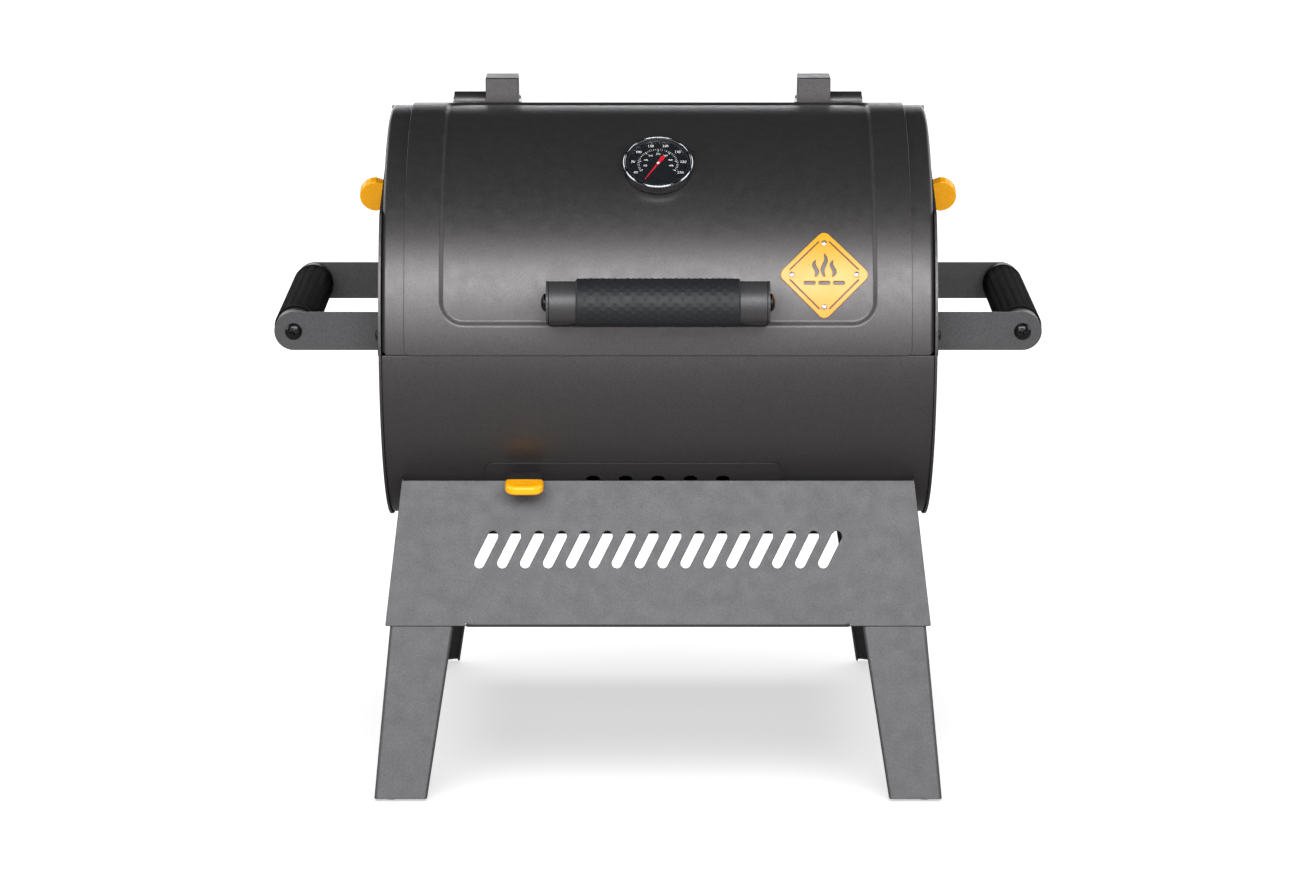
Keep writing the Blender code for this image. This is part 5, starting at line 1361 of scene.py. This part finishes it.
# ---- carry handles -----------------------------------------------------------------------------
@dataclass
class SideHandle:
    """Carry handle of one end: bent bars, tube, fluted sleeve, screws and bolts."""

    side: Side
    bar_y: float = 118.8
    bar: float = 2.5
    half_height: float = 16.7
    rise: float = 3.0
    root_x: float = 236.9
    axis_x: float = 313.3
    foot_end: float = 148.8
    bend: float = 3.0
    screw_hole: float = 3.4
    bolt_y: float = 137.0
    screw_turn: float = 20.0
    tube_radius: float = 16.6
    grip_radius: float = 18.2
    grip_half: float = 100.0
    flutes: int = 16
    flute_depth: float = 1.15
    collar: float = 11.0
    groove_depth: float = 0.55
    fit_gap: float = 0.3

    def flute(self, radius: float, height: float, turn: float) -> float:
        """Height of the rounded flutes, which fade out before the collars."""
        if radius < self.grip_radius - self.fit_gap:
            return 0.0
        fade = min(max((self.grip_half - self.collar - abs(height)) / 1.6, 0.0), 1.0)
        wave = abs(math.cos(turn * self.flutes / 2)) ** 0.55
        return self.flute_depth * fade * (wave - 1.0)

    def sleeve(self) -> Loop:
        """Closed profile of the sleeve, with a groove at each collar and points where the flutes fade."""
        bore = self.tube_radius + self.fit_gap
        face = ring_profile(self.grip_radius, bore, self.grip_half, 1.0, 0.2)
        groove = self.grip_half - self.collar + 2.6
        collar = [groove + step for step in (-0.9, -0.4, 0.0, 0.4, 0.9)] + span(86.0, 88.0, 0.5)
        heights = sorted({*collar, *(-value for value in collar), *span(-90.0, 90.0, 6.0)})
        profile = [point for point in face if point[1] < -self.grip_half + 1.01 and point[0] > bore + 0.25]
        profile += [(self.grip_radius - (self.groove_depth if abs(abs(value) - groove) < 0.45 else 0.0), value)
                    for value in heights]
        return profile + [point for point in face if point[1] > self.grip_half - 1.01 or point[0] < bore + 0.25]

    def build(self, shop: Workshop) -> None:
        """Builds the handle."""
        word, sign = self.side.word, self.side.value
        axis = Vector((sign * self.axis_x, DRUM_Y, DRUM_Z + self.rise))
        along_y = facing(axis, (1, 0, 0), (0, 0, 1))
        outer = self.bar_y + self.bar / 2
        tube = turned(tube_profile(self.tube_radius, outer - self.bar - self.fit_gap, self.screw_hole), 64)
        shop.add(f"carry_tube_{word}", tube.moved(along_y), "body", Slot.BODY, STAND_COAT, [f"side_tube_{word}"])
        grip = turned(self.sleeve(), self.flutes * 12, self.flute)
        shop.add(f"carry_sleeve_{word}", grip.moved(along_y), "body", Slot.RUBBER, SLEEVE_NYLON, [f"side_grip_{word}"])
        for label, way in (("front", -1.0), ("rear", 1.0)):
            name = f"{label}_{word}"
            shop.add(f"carry_bar_{name}", self.strip(way).skin(), "body", Slot.BODY, STAND_COAT, [f"side_bar_{name}"])
            seat = standing(axis + Vector((0.0, way * (outer + self.fit_gap), 0.0)), Vector((0.0, way, 0.0)))
            screw = cross_screw(7.2, 4.0, 12.0).moved(seat @ Matrix.Rotation(math.radians(self.screw_turn), 4, "Z"))
            shop.add(f"carry_screw_{name}", screw, "body", Slot.BLACK, BLACK_STEEL, [f"side_screw_{name}"])
            bolt = Vector((sign * (self.root_x + self.bar), DRUM_Y + way * self.bolt_y, axis.z))
            shop.add(f"carry_bolt_{name}", dome_bolt(5.2, 2.9).moved(standing(bolt, Vector((sign, 0, 0)))), "body",
                     Slot.ZINC, BLACK_STEEL)

    def strip(self, way: float) -> Sheet:
        """One bar, bent from a strip.

        Args:
            way: Sign of the bar's Y.

        Returns:
            The strip: u runs from the tip in to the root, round the bend and out along the foot.
        """
        bend_start = self.root_x + self.bar + self.bend
        outer_face = self.bar_y + self.bar / 2
        start = self.axis_x - bend_start
        bent = start + self.bend * math.pi / 2

        def place(u: float, v: float, depth: float) -> Vector:
            """Bends a point of the strip."""
            turn = min(max((u - start) / self.bend, 0.0), math.pi / 2)
            reach = self.bend + depth
            x = bend_start - min(u - start, 0.0) - reach * math.sin(turn)
            y = outer_face + self.bend - reach * math.cos(turn) + max(u - bent, 0.0)
            return Vector((self.side.value * x, DRUM_Y + way * y, DRUM_Z + self.rise + v))

        total = bent + self.foot_end - outer_face - self.bend
        tip = arc((0.0, 0.0), self.half_height, 90.0, 270.0, 28)
        foot = fillet(box_corners(0.0, total, -self.half_height, self.half_height), [0.0, 4.0, 4.0, 0.0], 5)[1:-1]
        bends = span(start, bent, 0.8)
        columns = [*span(-8.0, start - 6.0, 9.0), *bends, *span(bent + 5.0, total - 5.0, 7.0)]
        return Sheet(split_runs(densify(tip + foot, 6.0), bends), place, self.bar,
                     [circle((0.0, 0.0), self.screw_hole, 20)], (), columns, span(-12.0, 12.0, 6.0), 0.6)


def split_runs(loop: Loop, cuts: Sequence[float]) -> Loop:
    """The outline with a point wherever it crosses one of the given values of u."""
    points: Loop = []
    for index, here in enumerate(loop):
        there = loop[(index + 1) % len(loop)]
        points.append(here)
        low, high = sorted((here[0], there[0]))
        inner = [cut for cut in cuts if low + 0.05 < cut < high - 0.05 and high - low > 1.5]
        for cut in inner if there[0] > here[0] else inner[::-1]:
            part = (cut - here[0]) / (there[0] - here[0])
            points.append((cut, here[1] + (there[1] - here[1]) * part))
    return points


def dome_bolt(radius: float, height: float) -> Skin:
    """Low dome bolt head on its seat at height 0."""
    crown = [(radius * math.cos(math.radians(turn)), height * (0.25 + 0.75 * math.sin(math.radians(turn))))
             for turn in (20, 40, 60, 78)]
    return turned([(0.0, -0.02), (radius, -0.02), (radius, height * 0.25), *crown, (0.0, height)], 32)


# ---- the stand ---------------------------------------------------------------------------------
@dataclass
class Stand:
    """Leaning panels, side plates, channel legs and rubber feet."""

    lean: float = 18.8
    top_y: float = -137.0
    top_z: float = 262.3
    bottom_z: float = 143.2
    top_half: float = 221.0
    bottom_half: float = 234.6
    sheet: float = 1.5
    lip_half: float = 165.0
    lip: float = 12.0
    fold: float = 1.8
    relief: float = 0.6
    slots: int = 16
    slot_half_run: float = 148.0
    slot_radius: float = 4.5
    slot_half: float = 13.0
    slot_lean: float = 26.565
    slot_rise: float = 3.0
    rear_leg_extra: float = 8.5

    def panel_y(self, height: float) -> float:
        """Y of the front panel's face from the drum's axis at a height."""
        return self.top_y - math.tan(math.radians(self.lean)) * (self.top_z - height)

    def build(self, shop: Workshop) -> None:
        """Builds the stand."""
        xs = span(-self.slot_half_run, self.slot_half_run, 2 * self.slot_half_run / (self.slots - 1))
        slots = [slot((x, self.slot_rise), self.slot_half, self.slot_radius, 90.0 - self.slot_lean, 10) for x in xs]
        rows = (("front", 1.0, slots, 0.0), ("rear", -1.0, [], self.rear_leg_extra))
        for row, way, holes, _ in rows:
            panel = self.panel(way, holes).skin()
            shop.add(f"stand_panel_{row}", panel, "body", Slot.STAND, STAND_COAT, [f"base_panel_{row}"])
        for side in Side:
            shop.keep(f"base_side_{side.word}", STAND_COAT, 0.4)
            for row, way, _, extra in rows:
                Leg(self, side, row, way, extra).build(shop)

    def panel(self, way: float, holes: list[Loop]) -> Sheet:
        """One leaning panel with its folded lip.

        Args:
            way: 1 for the front and -1 for the rear.
            holes: The slots cut in it.

        Returns:
            The panel.
        """
        lean = math.radians(self.lean)
        half = (self.top_z - self.bottom_z) / math.cos(lean) / 2
        height = (self.top_z + self.bottom_z) / 2
        centre = Vector((0.0, self.panel_y(height), height))
        up, normal = Vector((0.0, math.sin(lean), math.cos(lean))), Vector((0.0, -math.cos(lean), math.sin(lean)))
        fold_start = -half + self.fold
        turn_length = self.fold * math.pi / 2

        def place(u: float, v: float, depth: float) -> Vector:
            """The flat panel above its fold, then round the fold and in along the lip."""
            run = fold_start - v
            if run <= 0.0 or abs(u) > self.lip_half + self.relief / 2:
                spot = centre + up * v - normal * depth
            else:
                turn = min(run, turn_length) / self.fold
                past = max(run - turn_length, 0.0)
                reach = self.fold - depth
                spot = (centre + up * (fold_start - reach * math.sin(turn))
                        - normal * (self.fold - reach * math.cos(turn) + past))
            return Vector((u * way, DRUM_Y + way * spot.y, spot.z))

        end = fold_start - turn_length - (self.lip - self.fold)
        notch, outer = fold_start + 0.7, self.lip_half + self.relief
        right = [(self.lip_half, end), (self.lip_half, notch), (outer, notch), (outer, -half),
                 (self.bottom_half, -half), (self.top_half, half)]
        eases = [3.0, 0.0, 0.0, 0.8, 1.6, 1.6]
        outline = fillet(right + [(-x, y) for x, y in reversed(right)], eases + eases[::-1], 4)
        folds = [fold_start - turn_length * part / 4 for part in range(5)]
        outline = [point[::-1] for point in split_runs([point[::-1] for point in densify(outline, 12.0)], folds)]
        rows = [*span(end + 3, folds[-1] - 2, 4.0), *folds[::-1], *span(fold_start + 6, half - 6, 11.0)]
        return Sheet(outline, place, self.sheet, holes, (), span(-226, 226, 11.0), rows, 0.55)


@dataclass
class Leg:
    """One folded channel leg with the tab that holds its foot.

    Attributes:
        stand: The stand that it carries.
        side: Which end of the grill it stands at.
        row: front or rear.
        way: 1 for the front and -1 for the rear.
        extra: How much wider its face is, inwards, than a front leg's.
        setback: How far its face lies behind the panel's.
    """

    stand: Stand
    side: Side
    row: str
    way: float
    extra: float
    outer_x: float = 243.3
    outer_taper: float = 0.0897
    inner_x: float = 198.2
    inner_taper: float = 0.1565
    setback: float = 1.884
    low: float = 2.2
    high: float = 225.0
    flange: float = 40.0
    lip: float = 10.0
    fold: float = 2.8
    sheet: float = 2.0
    width: float = 45.0
    tab_top: float = 7.0
    tab_half_x: float = 11.75
    tab_half_y: float = 12.6
    tab_hole: float = 3.3
    tab_shift: tuple[float, float] = (0.5, 0.6)
    foot_x: float = 228.8
    foot_y: float = 208.16

    def place(self, u: float, v: float, depth: float) -> Vector:
        """Bends a point of the flat sheet: u from the outer fold across the face, v the height."""
        outer = self.outer_x - self.outer_taper * v
        inner = self.inner_x - self.inner_taper * v - self.extra
        face = self.stand.panel_y(v) + self.setback
        reach, past = self.fold - depth, u - self.width
        first, last = (math.pi / 4 * (off + self.fold) / self.fold for off in (u, past))
        if u <= -self.fold:
            x, y = outer - depth, face - u
        elif u < self.fold:
            x, y = outer - self.fold + reach * math.cos(first), face + self.fold - reach * math.sin(first)
        elif past <= -self.fold:
            part = (u - self.fold) / (self.width - 2 * self.fold)
            x, y = outer - self.fold + (inner - outer + 2 * self.fold) * part, face + depth
        elif past < self.fold:
            x, y = inner + self.fold - reach * math.sin(last), face + self.fold - reach * math.cos(last)
        else:
            x, y = inner + depth, face + past
        return Vector((self.side.value * x, DRUM_Y + self.way * y, v))

    def build(self, shop: Workshop) -> None:
        """Builds the leg and its tab, and dresses the foot."""
        name = f"{self.row}_{self.side.word}"
        folds = [bend + self.fold * part / 3 for bend in (0.0, self.width) for part in range(-3, 4)]
        corners = box_corners(-self.flange, self.width + self.lip, self.low, self.high)
        outline = split_runs(densify(fillet(corners, [3.0, 3.0, 1.0, 1.0], 5), 9.0), folds)
        columns = [*span(-self.flange + 5, -self.fold - 3, 6.0), *folds[:7],
                   *span(self.fold + 4, self.width - self.fold - 4, 7.0), *folds[7:]]
        channel = Sheet(outline, self.place, self.sheet, (), (), columns, span(self.low + 6, self.high - 6, 11.0), 0.6)
        shop.add(f"stand_leg_{name}", channel.skin(), "body", Slot.STAND, STAND_COAT, [f"leg_{name}"])
        shift_x, shift_y = self.side.value * self.tab_shift[0], -self.way * self.tab_shift[1]
        centre = Vector((self.side.value * self.foot_x + shift_x, DRUM_Y - self.way * self.foot_y + shift_y,
                         self.tab_top))
        plate = fillet(box_corners(-self.tab_half_x, self.tab_half_x, -self.tab_half_y, self.tab_half_y), 1.0, 3)
        tab = Sheet(plate, flat(Matrix.Translation(centre)), self.sheet,
                    [circle((-shift_x, -shift_y), self.tab_hole, 24)], rim=0.3)
        shop.add(f"foot_tab_{name}", tab.skin(), "body", Slot.STAND, STAND_COAT)
        shop.keep(f"foot_{name}", SLEEVE_RUBBER, 0.4)


# ---- inside the drum ---------------------------------------------------------------------------
@dataclass
class Hearth:
    """Cooking grate with its cast bars, and the charcoal tray."""

    grate_x: float = 226.0
    grate_y: float = 150.0
    grate_top: float = -12.0
    grate_height: float = 8.0
    bay_half: float = 102.0
    bay_middle: float = 108.0
    bay_rows: int = 11
    bar_pitch: float = 26.0
    gap_half: float = 9.0
    gap_corner: float = 3.0
    grate_corner: float = 12.0
    grate_rim: float = 3.0
    run: float = 14.0

    def build(self, shop: Workshop) -> None:
        """Builds the grate and dresses the tray."""
        ys = [(row - (self.bay_rows - 1) / 2) * self.bar_pitch for row in range(self.bay_rows)]
        gaps = [densify(fillet(box_corners(bay - self.bay_half, bay + self.bay_half, y - self.gap_half,
                                           y + self.gap_half), self.gap_corner, 5), self.run)
                for bay in (-self.bay_middle, self.bay_middle) for y in ys]
        outline = densify(fillet(box_corners(-self.grate_x, self.grate_x, -self.grate_y, self.grate_y),
                                 self.grate_corner, 8), self.run)
        matrix = Matrix.Translation((0.0, DRUM_Y, DRUM_Z + self.grate_top))
        grate = Sheet(outline, flat(matrix), self.grate_height, gaps, rim=self.grate_rim, rim_steps=5)
        shop.add("cooking_grate_casting", grate.skin(), "cooking_grate", Slot.IRON, CAST_IRON, ["cooking_grate"])
        shop.keep("charcoal_tray", INSIDE_COAT, 0.6)


def main() -> None:
    """Builds the studio and every sub-assembly."""
    logging.basicConfig(level=logging.INFO, format="%(name)s %(message)s")
    shop = Workshop(frame["nodes"])
    Studio().build()
    parts = [LidSheet(), LidHandle(), Thermometer(), Badge(), DrumShell(), AirSlider(), Stand(), Hearth()]
    for side in Side:
        parts += [LidEnd(side), Hinge(side), DrumEnd(side), SideHandle(side)]
    for part in parts:
        part.build(shop)
    LOG.info("%d pieces made", shop.made)


if __name__ == "__main__":
    main()
